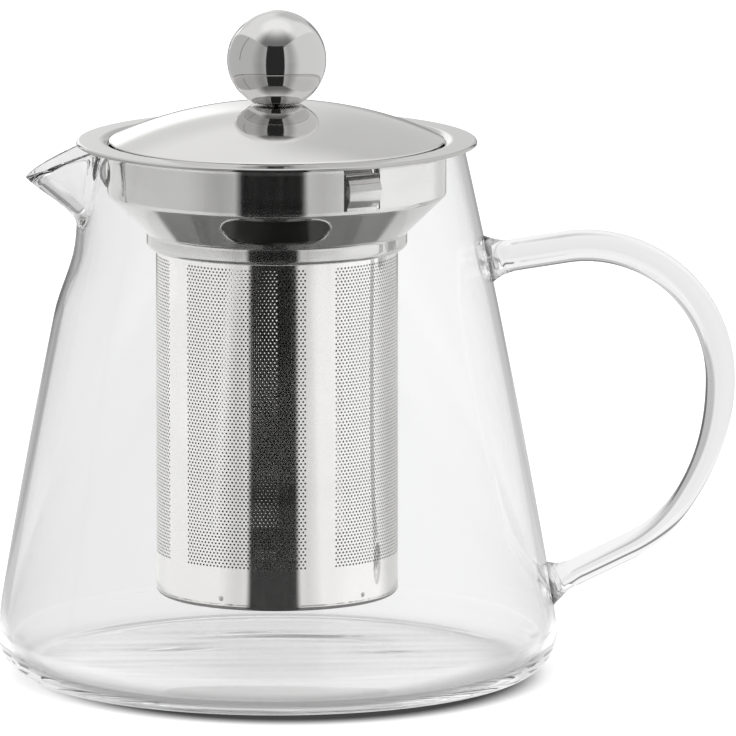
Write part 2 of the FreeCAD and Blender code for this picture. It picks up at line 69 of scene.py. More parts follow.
# Pot, as the CAD source has it but for the hollow under its foot and the dent in its neck
RIM = top("pot_body")
RIM_RADIUS = 44.2
WALL = 2.1
TAPER = 0.2235
TAPER_FADE = 0.00024
NECK = 106.0
HEEL = 10.0
HEEL_LEAN = math.radians(9.7)
FOOT = 56.8
FOOT_INNER = 40.0
FOOT_HOLLOW = 0.15  # kept low, so that no ring shows through the floor
FOOT_FADE_IN = 20.0  # width over which the hollow fades in
FOOT_GUARD = 0.3  # distance of the close point before the heel
FLOOR = 3.0
INNER_HEEL = 7.0
LIP_START = 107.5
LIP_FULL = 122.5
LIP_REACH = 16.0
LIP_SPREAD = 20.0
LIP_INSIDE = 0.92
LIP_DIP = 43.4
LIP_FALL = 0.426
LIP_FALL_SPREAD = 60
LIP_FLOOR = 1.6
NECK_DENT = 1.6  # how far the side is drawn in below the lip
DENT_HEIGHT = 101.0
DENT_REACH = 15.0
DENT_SPREAD = 48.0
# Low waves that blowing left in the floor: height, pitch, and the height and pitch of their bends
FLOOR_WAVE = (0.03, 0.31, 0.9, 0.06)
FLOOR_RIPPLE = (0.012, 0.83, -0.07)  # height and pitch along and across
FOOT_STEPS = 6  # steps along each run of the pot's section
HEEL_STEPS = 22
SIDE_STEPS = 40
LIP_STEPS = 24
RIM_STEPS = 10
INNER_HEEL_STEPS = 18
FLOOR_STEPS = 32
LIP_FINE = 26  # half the angle that is built in single degrees
POT_STEP = 2.0
RIM_ROUNDS = 30  # rounds in which the rim's height is found

# Handle
HANDLE_REACH = 105.3
HANDLE_LEVEL = 70.4
HANDLE_BENDS = ((32.0, 98.9), (52.7, 33.2), (33.2, 30.8))  # radius and turn in degrees, from the top
HANDLE_SLOPE = math.radians(8.9)
ROD_THICK = (7.6, 7.6, 7.0, 5.2, 6.4, 6.4)
ROD_DEPTH = 8.2
ROD_SPACING = 0.5
ROD_AROUND = 72
HALVINGS = 40  # halvings in which the distance to the pot's side is found
WELD = 6.0  # length over which each end of the rod widens towards the pot
WELD_FLARE = 1.9
WELD_FLARE_DEEP = 0.8  # share of that from front to back
WELD_SINK = 0.05  # how far the fused end reaches into the wall
WELD_LUMPS = 0.1
WELD_SWELLS = ((1.0, 3, 1.1), (0.6, 5, -1.7))  # size, number round the rod and twist along it
WELD_SPREAD = 1.6  # how much further than the widening the lumps and the slanted cut run

# Steel
GAUGE = 0.6
FLANGE = half_width("infuser_collar")
FLANGE_TOP = top("infuser_collar")
FLANGE_TURN = 1.2
FLANGE_BEND = 0.4
FLANGE_FALL = 0.1  # how much lower the flange's edge lies than its inside
ROLL = 2.2
COLLAR = 40.1
SHOULDER = 115.2
SPIGOT = 30.9
SPIGOT_LOW = bottom("infuser_collar")
SHOULDER_BEND = 1.3
SPIGOT_BEND = 1.3
SLOT_LENGTH = 25.0
SLOT_WIDTH = 9.4
SLOT_STEPS = 16
SLOT_RIM = 0.5  # thickness of the rounded edge round a slot
SLOT_RIM_AROUND = 8
TONGUE_WIDTH = 8.0
TONGUE_FOOT = 116.0
TONGUE_ROOT = 0.8  # height of the straight root, and the bend above it
TONGUE_ROOT_BEND = 1.0
TONGUE_KNEE = 120.2
TONGUE_TIP = 124.4
TONGUE_OUT = 42.9
TONGUE_BOW = 4.0
TONGUE_GAP = 0.8
TONGUE_AZIMUTH = 30.0
TONGUE_STEPS = 10
CUT_DEPTH = 1.6
THIRDS = (0, 120, 240)  # azimuths by which the slots and the tongues repeat
FACES_AXIS = -0.5  # how far a face has to look at the axis to count as inside
TUBE = half_width("strainer_tube")
TUBE_GAUGE = 0.4
TUBE_LOW = bottom("strainer_tube")
TUBE_TOP = top("strainer_tube")
TUBE_STEP = 1.5  # degrees along the tube's bands and strips, and millimetres up them
STRIP_STEP = 1.0
TUBE_EDGE_STEP = 3
BAND_RISE = 3.0
STRIP_RISE = 6.0
BASE_LOW = bottom("strainer_base")
BASE_RIM = 4.0
BASE_BEND = 1.2
BASE_JOG = 0.4  # where the cup's rim steps into the tube
BASE_JOG_BEND = 0.18
FACES_DOWN = -0.9
LID = half_width("lid_dome")
LID_TOP = 136.6
LID_HOLE = 2.2
LID_STEPS = 60
DOME = 94.3
SKIRT = half_width("lid_skirt")
SKIRT_LOW = bottom("lid_skirt")
SKIRT_LIP = 34.0
SKIRT_BEND = 0.8
BALL = half_width("knob_ball")
BALL_DROP = 0.4
BALL_MIDDLE = top("knob_ball") - BALL - BALL_DROP
BALL_FOOT = 6.0
BALL_NECK = 3.0
BALL_STEPS = 72
SEAT_HOLLOW = 0.1  # how far the neck's foot clears the dome in the middle and at its edge
SEAT_GAP = 0.02
NECK_EDGE = 0.2  # broken edge at the neck's foot, and the fillet at its top
NECK_FILLET = 0.1
BALL_EDGE = (0.25, 0.05, 0.06)  # broken edge of the underside: from and to its rim, and rise
BALL_EDGE_TURN = 0.02  # how far round the ball, in radians, that edge reaches

# Perforation
HOLE_PITCH = 0.96
HOLE_ROW = 0.78
HOLE = 0.27
HOLE_CORNERS = (210, 270, 330, 30, 90, 150)
FIELD_LOW = 29.2
FIELD_TOP = 101.0
BACK_TOP = 96.5
# Start and width of each field in degrees, and its top
FIELDS = (
    (-47.3, 61.9, FIELD_TOP),
    (28.3, 61.9, FIELD_TOP),
    (103.9, 61.9, BACK_TOP),
    (179.5, 61.9, BACK_TOP),
    (255.1, 44.0, FIELD_TOP),
)

# Spot welds that hold the base in the tube
SPOT_HEIGHT = 21.9
SPOT = 0.5
SPOT_FIRST = -27.0
SPOTS = 5
SPOT_AROUND = 14
SPOT_CROWN = 0.14
SPOT_RINGS = ((0.5, 0.12), (0.8, -0.06), (1.0, 0.06), (1.25, -0.02))  # share of the radius, and height


def polar(radius, azimuth, height):
    """A point in metres, with the azimuth in degrees from the front towards the handle."""
    angle = math.radians(azimuth)
    return (radius * math.sin(angle) * MM, -radius * math.cos(angle) * MM, height * MM)


def eased(share):
    share = min(max(share, 0.0), 1.0)
    return share * share * (3 - 2 * share)


def between(first, last, steps):
    """Evenly spaced values after first, up to last."""
    return [first + (last - first) * step / steps for step in range(1, steps + 1)]


def spread_over(first, last, step):
    """Evenly spaced values from first to last, no further apart than a step."""
    return [first] + between(first, last, max(1, math.ceil(abs(last - first) / step)))


def full_circle(count):
    """Angles, in radians, of points evenly spaced round a circle."""
    return [2 * math.pi * step / count for step in range(count)]


def arc(middle, radius, start, end, steps):
    """Points along an arc in the (r, z) plane, with angles in radians."""
    turns = [start] + between(start, end, steps)
    return [Vector(middle) + radius * Vector((math.cos(turn), math.sin(turn))) for turn in turns]


def bent(*corners):
    """A path through (r, z, bend) corners, with the bends drawn as arcs and a close point beside each."""
    points = []
    for index, (r, z, bend) in enumerate(corners):
        here = Vector((r, z))
        if not bend:
            points.append(here)
            continue
        back = (Vector(corners[index - 1][:2]) - here).normalized()
        ahead = (Vector(corners[(index + 1) % len(corners)][:2]) - here).normalized()
        half = back.angle(ahead) / 2
        reach = bend / math.tan(half)
        middle = here + (back + ahead).normalized() * (bend / math.sin(half))
        first = here + back * reach - middle
        sweep = math.pi - 2 * half
        if back.cross(ahead) > 0:
            sweep = -sweep
        steps = max(3, math.ceil(abs(sweep) / BEND_STEP))
        points.append(here + back * (reach + BEND_GUARD))
        for step in range(steps + 1):
            points.append(middle + Matrix.Rotation(sweep * step / steps, 2) @ first)
        points.append(here + ahead * (reach + BEND_GUARD))
    return points


def sheet_outline(path, gauge):
    """Closed outline of a bent sheet round its middle line, with half-round edges."""
    left, right = [], []
    for index, point in enumerate(path):
        along = (path[min(index + 1, len(path) - 1)] - path[max(index - 1, 0)]).normalized()
        across = Vector((-along.y, along.x)) * (gauge / 2)
        left.append(point + across)
        right.append(point - across)
    return left + half_round(left[-1], right[-1]) + right[::-1] + half_round(right[0], left[0])


def half_round(first, last):
    middle = (first + last) / 2
    arm = first - middle
    return [middle + Matrix.Rotation(-math.pi * step / EDGE_STEPS, 2) @ arm for step in range(1, EDGE_STEPS)]


def lathe(outline, steps=TURN):
    """Vertices and faces of a closed (r, z) outline turned about Z. Points on the axis become poles."""
    verts, rings = [], []
    for r, z in outline:
        if r < 1e-6:
            rings.append([len(verts)] * steps)
            verts.append((0.0, 0.0, z * MM))
            continue
        rings.append(list(range(len(verts), len(verts) + steps)))
        verts += [polar(r, 360 * step / steps, z) for step in range(steps)]
    faces = []
    for index, ring in enumerate(rings):
        after = rings[(index + 1) % len(rings)]
        for step in range(steps):
            following = (step + 1) % steps
            corners = [ring[step], ring[following], after[following], after[step]]
            face = [c for place_in, c in enumerate(corners) if c not in corners[:place_in]]
            if len(face) > 2:
                faces.append(face)
    return verts, faces


def ring_faces(rings, around, closed=False):
    """Faces between rings of vertices that follow one another, and from the last to the first if closed."""
    faces = []
    for ring in range(rings if closed else rings - 1):
        here, there = ring * around, (ring + 1) % rings * around
        for step in range(around):
            after = (step + 1) % around
            faces.append((here + step, here + after, there + after, there + step))
    return faces


def linked(name, data):
    """An object of some data, in the scene."""
    thing = bpy.data.objects.new(name, data)
    bpy.context.scene.collection.objects.link(thing)
    return thing


def closed_object(name, verts, faces):
    """An object from vertices and faces, with its faces looking outwards."""
    mesh = bpy.data.meshes.new(name)
    mesh.from_pydata(verts, [], faces)
    work = bmesh.new()
    work.from_mesh(mesh)
    bmesh.ops.recalc_face_normals(work, faces=work.faces)
    work.to_mesh(mesh)
    work.free()
    return linked(name, mesh)


def make_piece(name, verts, faces, body, slot, material, node=None, crease=True):
    return place(closed_object(name, verts, faces), body, material, node, crease)


def place(piece, body, material, node, crease=True):
    """Shades a piece smooth and ties it to its CAD body, node and finish."""
    piece.data.polygons.foreach_set("use_smooth", [True] * len(piece.data.polygons))
    if crease:
        piece.data.set_sharp_from_angle(angle=SMOOTH_ANGLE)
    piece.data.materials.clear()
    piece.data.materials.append(material)
    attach(piece, body)
    if node:
        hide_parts(node)
    return piece


def second_finish_or_shade(piece, material, chosen):
    """Gives the faces of a piece that are chosen a second material: a rougher finish, or a darker copy of the
    steel as painted shade.
    """
    piece.data.materials.append(material)
    for face in piece.data.polygons:
        if chosen(face):
            face.material_index = 1


# Materials
NOISE_RANGE = (0.3, 0.7)  # where most values of a noise lie
CLOUD = (60, 4)  # scale and detail of each noise
LINES = (900, 3)
LINE_DEPTH = 0.00002
GLASS_SMEAR = (90, 5)
GLASS_ROUGH = (0.0, 0.012)
GLASS_WAVE = (26, 1)
GLASS_WAVE_STRETCH = (1, 1, 0.45)
GLASS_WAVE_STRENGTH = 0.05
GLASS_WAVE_DEPTH = 0.001
GLASS_IOR = 1.47
GLASS_SLANT = (0.3, 0.95)  # slant from and to, and the light let through at each
GLASS_PASSED = (0.97, 0.2)


class Graph:
    """A shader's node tree, with short ways to add nodes and join them."""

    def __init__(self, tree):
        self.nodes = tree.nodes
        self.links = tree.links

    def feed(self, socket, value):
        """Joins a socket to another one, or sets it to a plain value."""
        if isinstance(value, bpy.types.NodeSocket):
            self.links.new(value, socket)
        else:
            socket.default_value = value

    def fill(self, node, **inputs):
        """Feeds the inputs of a node, named with an underscore for each space."""
        for name, value in inputs.items():
            self.feed(node.inputs[name.replace("_", " ")], value)

    def add(self, kind, **inputs):
        node = self.nodes.new("ShaderNode" + kind)
        self.fill(node, **inputs)
        return node

    def calc(self, operation, *values):
        node = self.add("Math")
        node.operation = operation
        for socket, value in zip(node.inputs, values):
            self.feed(socket, value)
        return node.outputs["Value"]

    def times(self, product, *others):
        for other in others:
            product = self.calc("MULTIPLY", product, other)
        return product

    def mapped(self, source, from_range, to_range, smooth=False):
        """Values of one range spread over another, and kept inside it."""
        node = self.add("MapRange", Value=source)
        if smooth:
            node.interpolation_type = "SMOOTHSTEP"
        low, high = from_range
        first, last = to_range
        self.fill(node, From_Min=low, From_Max=high, To_Min=first, To_Max=last)
        return node.outputs["Result"]

    def noise(self, scale, detail, stretch=(1, 1, 1)):
        """A noise in object space, stretched along an axis."""
        mapping = self.add("Mapping", Vector=self.add("TexCoord").outputs["Object"], Scale=stretch)
        texture = self.add("TexNoise", Vector=mapping.outputs["Vector"], Scale=scale, Detail=detail)
        return texture.outputs["Fac"]

    def bump(self, source, strength, distance):
        return self.add("Bump", Height=source, Strength=strength, Distance=distance).outputs["Normal"]

    def mixed(self, share, first, last):
        """Two shaders mixed by a share of the last one."""
        mix = self.add("MixShader", Fac=share)
        self.feed(mix.inputs[1], first)
        self.feed(mix.inputs[2], last)
        return mix.outputs["Shader"]

    def covered(self, share, shader, strength):
        """A shader covered, by a share, with an even glow of some strength."""
        return self.mixed(share, shader, self.add("Emission", Strength=strength).outputs["Emission"])

    def blended(self, share, first, last):
        """Two numbers mixed by a share of the last one."""
        return self.add("Mix", Factor=share, A=first, B=last).outputs["Result"]

    def window(self, source, low, high, soft):
        """One between low and high, falling to nothing over soft to each side. None leaves a side open."""
        edges = []
        if low is not None:
            edges.append(self.mapped(source, (low - soft, low + soft), (0, 1), smooth=True))
        if high is not None:
            edges.append(self.mapped(source, (high - soft, high + soft), (1, 0), smooth=True))
        return self.times(*edges)

    def azimuths(self, vector):
        """A vector's azimuths in degrees towards the handle, from the front and the back, and its parts."""
        parts = self.add("SeparateXYZ", Vector=vector).outputs
        across, back = parts["X"], parts["Y"]
        turns = [self.calc("ARCTAN2", across, ahead) for ahead in (self.times(back, -1.0), back)]
        return *[self.calc("DEGREES", turn) for turn in turns], parts

    def distance(self, spot, middle=(0, 0, 0), stretch=(1, 1, 1)):
        """Distance of a spot from a middle, counted less along an axis that is stretched."""
        moved_to = self.add("Mapping")
        moved_to.vector_type = "TEXTURE"
        self.fill(moved_to, Vector=spot, Location=middle, Scale=stretch)
        away = self.add("VectorMath", Vector=moved_to.outputs["Vector"])
        away.operation = "LENGTH"
        return away.outputs["Value"]


def new_material(name):
    material = bpy.data.materials.new(name)
    material.use_nodes = True
    graph = Graph(material.node_tree)
    return material, graph, graph.nodes["Principled BSDF"]


def steel(name, dark, light, smooth, rough, grain, stretch):
    """Polished steel: a faint cloud in its colour, and fine polishing lines in its roughness and surface."""
    material, graph, shader = new_material(name)
    tint = graph.add("Mix")
    tint.data_type = "RGBA"
    graph.fill(tint, Factor=graph.noise(*CLOUD), A=(*dark, 1), B=(*light, 1))
    lines = graph.noise(*LINES, stretch)
    graph.fill(
        shader,
        Metallic=1.0,
        Base_Color=tint.outputs["Result"],
        Roughness=graph.mapped(lines, NOISE_RANGE, (smooth, rough)),
        Normal=graph.bump(lines, grain, LINE_DEPTH),
    )
    return material


def glass(name, tint):
    """Clear glass with a faint wave in its surface. Less light passes where it meets the surface aslant."""
    material, graph, shader = new_material(name)
    wave = graph.noise(*GLASS_WAVE, GLASS_WAVE_STRETCH)
    graph.fill(
        shader,
        Transmission_Weight=1.0,
        IOR=GLASS_IOR,
        Base_Color=(*tint, 1),
        Roughness=graph.mapped(graph.noise(*GLASS_SMEAR), NOISE_RANGE, GLASS_ROUGH),
        Normal=graph.bump(wave, GLASS_WAVE_STRENGTH, GLASS_WAVE_DEPTH),
    )
    slant = graph.add("LayerWeight", Blend=0.5).outputs["Facing"]
    through = graph.add("BsdfTransparent", Color=graph.mapped(slant, GLASS_SLANT, GLASS_PASSED))
    in_shadow = graph.add("LightPath").outputs["Is Shadow Ray"]
    surface = graph.mixed(in_shadow, shader.outputs["BSDF"], through.outputs["BSDF"])
    graph.fill(graph.nodes["Material Output"], Surface=surface)
    return material


POT_GLASS = glass("pot_glass", (0.994, 0.996, 0.995))
HANDLE_GLASS = glass("handle_glass", (0.99, 0.992, 0.99))
# Darkest and lightest colour, least and most roughness, depth and stretch of the polishing lines
COLLAR_STEEL = steel(
    "collar_steel", (0.58, 0.575, 0.567), (0.64, 0.635, 0.627), 0.03, 0.1, 0.06, (1, 1, 0.05)
)
TUBE_STEEL = steel("strainer_steel", (0.8, 0.79, 0.775), (0.86, 0.85, 0.835), 0.03, 0.09, 0.05, (1, 1, 0.04))
LID_STEEL = steel("lid_steel", (0.76, 0.755, 0.745), (0.82, 0.815, 0.805), 0.03, 0.09, 0.04, (1, 0.08, 1))
KNOB_STEEL = steel("knob_steel", (0.72, 0.715, 0.71), (0.78, 0.775, 0.77), 0.015, 0.05, 0.02, (1, 1, 1))
# Faces looking inwards get a rougher and much darker copy of the steel: the darker colour is painted shade
INSIDE_STEEL_PAINTED_SHADE = steel("inside_steel_painted_shade", (0.2, 0.205, 0.19), (0.3, 0.305, 0.285), 0.3, 0.45, 0.1, (1, 1, 0.2))
UNDER_STEEL = steel("under_steel", (0.8, 0.795, 0.785), (0.86, 0.855, 0.845), 0.4, 0.55, 0.15, (1, 1, 1))
FIXING_STEEL = steel("fixing_steel", (0.5, 0.5, 0.49), (0.6, 0.6, 0.59), 0.15, 0.3, 0.2, (1, 1, 0.2))


# Glass pot
def cone(height):
    drop = RIM - height
    return RIM_RADIUS + TAPER * drop - TAPER_FADE * drop * drop


HEEL_TOP = HEEL * (1 + math.sin(HEEL_LEAN))
HEEL_GAP = FOOT + HEEL * math.cos(HEEL_LEAN) - cone(HEEL_TOP)


def side(height):
    """Outside radius of the pot away from the lip."""
    share = max(0.0, (NECK - height) / (NECK - HEEL_TOP))
    return cone(height) + HEEL_GAP * share * share


def lip_pull(height):
    return LIP_REACH * eased((height - LIP_START) / (LIP_FULL - LIP_START))


def lip_share(angle, spread):
    if abs(angle) >= spread:
        return 0.0
    return math.cos(math.pi / 2 * angle / spread) ** 2


def dent(angle, height):
    share = eased(1 - abs(height - DENT_HEIGHT) / DENT_REACH)
    return NECK_DENT * share * lip_share(angle, DENT_SPREAD)


def outside(angle, height):
    return side(height) - dent(angle, height) + lip_pull(height) * lip_share(angle, LIP_SPREAD)


def inside(angle, height):
    pulled = lip_pull(height - LIP_FLOOR) * lip_share(angle, LIP_SPREAD * LIP_INSIDE)
    return side(height) - dent(angle, height) - WALL + pulled


def rim_height(angle):
    """Height of the rim at an angle from the lip, where it falls towards the tip."""
    height = RIM
    if abs(angle) >= LIP_FALL_SPREAD:
        return height
    for _ in range(RIM_ROUNDS):
        out = outside(angle, height) * math.cos(math.radians(angle))
        height = RIM - LIP_FALL * max(0.0, out - LIP_DIP)
    return height


def floor_wave(r, angle):
    """Height of the floor's low waves, which are drawn out from side to side."""
    away = r * math.sin(math.radians(angle))
    across = r * math.cos(math.radians(angle))
    height, pitch, sway, sway_pitch = FLOOR_WAVE
    wave = height * math.sin(pitch * away + sway * math.sin(sway_pitch * across))
    height, pitch, slant = FLOOR_RIPPLE
    return wave + height * math.sin(pitch * away + slant * across)


def pot_column(angle):
    """(r, z) points of the pot's section at an angle from the lip, from under the foot to its floor."""
    points = [(r, FOOT_HOLLOW) for r in [0.0] + between(0, FOOT_INNER - FOOT_FADE_IN, FOOT_STEPS)]
    for left in between(1, 0, FOOT_STEPS):
        points.append((FOOT_INNER - FOOT_FADE_IN * left, FOOT_HOLLOW * eased(left)))
    points += [((FOOT_INNER + FOOT) / 2, 0), (FOOT - FOOT_GUARD, 0)]
    points += arc((FOOT, HEEL), HEEL, -math.pi / 2, HEEL_LEAN, HEEL_STEPS)
    end = rim_height(angle) - WALL / 2
    heights = between(HEEL_TOP, LIP_START, SIDE_STEPS) + between(LIP_START, end, LIP_STEPS)
    points += [(outside(angle, height), height) for height in heights]
    out, within = outside(angle, end), inside(angle, end)
    middle, arm = (out + within) / 2, (out - within) / 2
    for turn in between(0, math.pi, RIM_STEPS)[:-1]:
        points.append((middle + arm * math.cos(turn), end + WALL / 2 * math.sin(turn)))
    inner_top = FLOOR + INNER_HEEL * (1 + math.sin(HEEL_LEAN))
    heights = [end] + between(end, LIP_START, LIP_STEPS) + between(LIP_START, inner_top, SIDE_STEPS)[:-1]
    points += [(inside(angle, height), height) for height in heights]
    inner_middle = FOOT + HEEL - WALL - INNER_HEEL
    points += arc((inner_middle, FLOOR + INNER_HEEL), INNER_HEEL, HEEL_LEAN, -math.pi / 2, INNER_HEEL_STEPS)
    for left in between(1, 0, FLOOR_STEPS):
        r = inner_middle * left
        points.append((r, FLOOR + floor_wave(r, angle) * math.sin(math.pi * left)))
    return points


def build_pot():
    coarse = round((360 - 2 * LIP_FINE) / POT_STEP)
    angles = [*range(-LIP_FINE, LIP_FINE + 1), *(LIP_FINE + POT_STEP * step for step in range(1, coarse))]
    verts = [(0, 0, FOOT_HOLLOW * MM), (0, 0, FLOOR * MM)]
    for angle in angles:
        column = pot_column((angle + 180) % 360 - 180)
        verts += [polar(r, angle - 90, z) for r, z in column[1:-1]]
    row = (len(verts) - 2) // len(angles)
    faces = []
    for index in range(len(angles)):
        here = 2 + index * row
        there = 2 + (index + 1) % len(angles) * row
        faces.append((0, here, there))
        faces.append((1, there + row - 1, here + row - 1))
        faces += [(here + k, here + k + 1, there + k + 1, there + k) for k in range(row - 1)]
    make_piece("pot_body_glass", verts, faces, "pot", "pot_glass", POT_GLASS, "pot_body", crease=False)


# Handle
def heading_vector(heading):
    return Vector((math.cos(heading), 0, math.sin(heading)))


def to_glass(point, heading):
    """Distance along a heading from a point outside the pot to its side."""
    near, far = 0.0, HANDLE_REACH
    for _ in range(HALVINGS):
        middle = (near + far) / 2
        spot = point + heading_vector(heading) * middle
        if math.hypot(spot.x, spot.y) > side(spot.z):
            near = middle
        else:
            far = middle
    return near


def moved(point, heading, distance, radius):
    """Where a point ends after a distance, straight on or round a bend to the right, and its new heading."""
    if radius is None:
        return point + heading_vector(heading) * distance, heading
    middle = point + heading_vector(heading - math.pi / 2) * radius
    turned = heading - distance / radius
    return middle + heading_vector(turned + math.pi / 2) * radius, turned


def handle_line():
    """Points along the middle of the rod from weld to weld: (point, heading, thickness), in millimetres."""
    top_radius = HANDLE_BENDS[0][0]
    middle = Vector((HANDLE_REACH - top_radius, 0, HANDLE_LEVEL))
    start = middle + heading_vector(HANDLE_SLOPE + math.pi / 2) * top_radius
    length = to_glass(start, HANDLE_SLOPE + math.pi)
    point, heading = start - heading_vector(HANDLE_SLOPE) * length, HANDLE_SLOPE
    runs = [(None, length)] + [(radius, radius * math.radians(turn)) for radius, turn in HANDLE_BENDS]
    line = []
    for index, (thick, next_thick) in enumerate(zip(ROD_THICK, ROD_THICK[1:])):
        if index == len(runs):
            runs.append((None, to_glass(point, heading)))
        radius, length = runs[index]
        steps = max(2, round(length / ROD_SPACING))
        for step in range(steps):
            share = step / steps
            size = thick + (next_thick - thick) * eased(share)
            line.append((*moved(point, heading, length * share, radius), size))
        point, heading = moved(point, heading, length, radius)
    return line + [(point, heading, ROD_THICK[-1])]


def rod_ring(point, heading, thick, deep):
    """Points round a rod's section, in millimetres."""
    up, aside = heading_vector(heading + math.pi / 2) * thick, Vector((0, deep, 0))
    return [point + up * math.cos(turn) + aside * math.sin(turn) for turn in full_circle(ROD_AROUND)]


def slanted_end(ring, heading):
    """How far each point of a rod's end moves along a heading to lie just inside the pot's side."""
    back = heading_vector(heading) * WELD * WELD_SPREAD
    return [to_glass(point - back, heading) - back.length + WELD_SINK for point in ring]


def fused_ring(point, ring, from_pot, way, slant):
    """A ring of the rod in metres, lumpy near the pot and slid along a way onto its side."""
    near = max(0.0, 1 - from_pot / (WELD * WELD_SPREAD))
    lumps = WELD_LUMPS * eased(near) * near * (1 - near)
    spots = []
    for spot, turn, slide in zip(ring, full_circle(ROD_AROUND), slant):
        swell = sum(size * math.sin(waves * turn + twist * from_pot) for size, waves, twist in WELD_SWELLS)
        lumpy = point + (spot - point) * (1 + lumps * swell)
        spots.append((lumpy + way * (slide * near)) * MM)
    return spots


def build_handle():
    """One rod that widens into the pot's side at both ends, a little lumpy where it was fused."""
    line = handle_line()
    ends = line[0][0], line[-1][0]
    headings = line[0][1] + math.pi, line[-1][1]
    ways = [heading_vector(heading) for heading in headings]
    rings, distances = [], []
    for point, heading, size in line:
        from_pot, end = min(((point - spot).length, end) for end, spot in enumerate(ends))
        flare = WELD_FLARE * max(0.0, 1 - from_pot / WELD) ** 2
        rings.append(rod_ring(point, heading, size / 2 + flare, ROD_DEPTH / 2 + flare * WELD_FLARE_DEEP))
        distances.append((from_pot, end))
    slants = slanted_end(rings[0], headings[0]), slanted_end(rings[-1], headings[1])
    verts = []
    for (point, _, _), ring, (from_pot, end) in zip(line, rings, distances):
        verts += fused_ring(point, ring, from_pot, ways[end], slants[end])
    faces = ring_faces(len(rings), ROD_AROUND)
    for middle, way, start in zip(ends, ways, (0, len(verts) - ROD_AROUND)):
        faces += [(start + step, start + (step + 1) % ROD_AROUND, len(verts)) for step in range(ROD_AROUND)]
        verts.append((middle + way * WELD_SINK) * MM)
    make_piece("handle_rod", verts, faces, "pot", "handle_glass", HANDLE_GLASS, "handle")


# Strainer collar
SHOULDER_MIDDLE = (COLLAR + SPIGOT) / 2  # radius and height of the middle of the shoulder
SHOULDER_HEIGHT = SHOULDER - COLLAR + SHOULDER_MIDDLE


def cutter(name, outline, depth):
    """A prism along its own Z, used to cut and then removed."""
    verts = [(x * MM, y * MM, z * MM) for z in (-depth, depth) for x, y in outline]
    count = len(outline)
    faces = [tuple(range(count)), tuple(range(count, 2 * count))]
    return closed_object(name, verts, faces + ring_faces(2, count))


def cut(piece, tools):
    """Cuts the tools out of a piece and removes them."""
    for tool in tools:
        change = piece.modifiers.new(tool.name, "BOOLEAN")
        change.operation = "DIFFERENCE"
        change.solver = "EXACT"
        change.object = tool
    evaluated = piece.evaluated_get(bpy.context.evaluated_depsgraph_get())
    result = bpy.data.meshes.new_from_object(evaluated)
    piece.modifiers.clear()
    piece.data = result
    for tool in tools:
        bpy.data.objects.remove(tool)


def stadium(length, width):
    run, radius = (length - width) / 2, width / 2
    points = arc((run, 0), radius, -math.pi / 2, math.pi / 2, SLOT_STEPS)
    return points + arc((-run, 0), radius, math.pi / 2, 3 * math.pi / 2, SLOT_STEPS)


def spin(azimuth):
    return Matrix.Rotation(math.radians(azimuth), 4, "Z")


def slot_cutter(azimuth):
    tool = cutter("slot", stadium(SLOT_LENGTH, SLOT_WIDTH), SLOT_WIDTH / 2)
    on_shoulder = Matrix.Translation((0, -SHOULDER_MIDDLE * MM, SHOULDER_HEIGHT * MM))
    tool.matrix_world = spin(azimuth) @ on_shoulder @ Matrix.Rotation(-math.pi / 4, 4, "X")
    return tool


def window_cutter(azimuth):
    """Cuts the window that a tongue was lanced from."""
    wide = TONGUE_WIDTH / 2 + TONGUE_GAP
    tall = (TONGUE_TIP + TONGUE_GAP - TONGUE_FOOT) / 2
    tool = cutter("window", [(-wide, -tall), (wide, -tall), (wide, tall), (-wide, tall)], CUT_DEPTH)
    on_wall = Matrix.Translation((0, -(COLLAR - GAUGE / 2) * MM, (TONGUE_FOOT + tall) * MM))
    tool.matrix_world = spin(TONGUE_AZIMUTH + azimuth) @ on_wall @ Matrix.Rotation(math.pi / 2, 4, "X")
    return tool


def inside_collar(face):
    """Whether a face looks at the axis, below the roll of the flange."""
    outwards = Vector((face.center.x, face.center.y, 0)).normalized()
    return face.normal.dot(outwards) < FACES_AXIS and face.center.z < (FLANGE_TOP - ROLL) * MM


def build_collar():
    half = GAUGE / 2
    lift = half * math.tan(math.pi / 8)
    fall = COLLAR - SPIGOT
    path = bent(
        (FLANGE - half, FLANGE_TOP - FLANGE_TURN + half, 0),
        (FLANGE - half, FLANGE_TOP - half - FLANGE_FALL, FLANGE_BEND),
        (COLLAR - half, FLANGE_TOP - half, ROLL),
        (COLLAR - half, SHOULDER + lift, SHOULDER_BEND),
        (SPIGOT - half, SHOULDER - fall + lift, SHOULDER_BEND),
        (SPIGOT - half, SPIGOT_LOW + half, SPIGOT_BEND),
        (TUBE + half, SPIGOT_LOW + half, 0),
    )
    piece = closed_object("infuser_collar_sheet", *lathe(sheet_outline(path, GAUGE), WIDE_TURN))
    cut(piece, [make_tool(azimuth) for azimuth in THIRDS for make_tool in (slot_cutter, window_cutter)])
    place(piece, "infuser", COLLAR_STEEL, "infuser_collar")
    # The inside of the collar below the roll gets the darker steel: painted shade
    second_finish_or_shade(piece, INSIDE_STEEL_PAINTED_SHADE, inside_collar)
    for index, azimuth in enumerate(THIRDS):
        build_tongue(index, TONGUE_AZIMUTH + azimuth)
        build_slot_rim(index, azimuth)


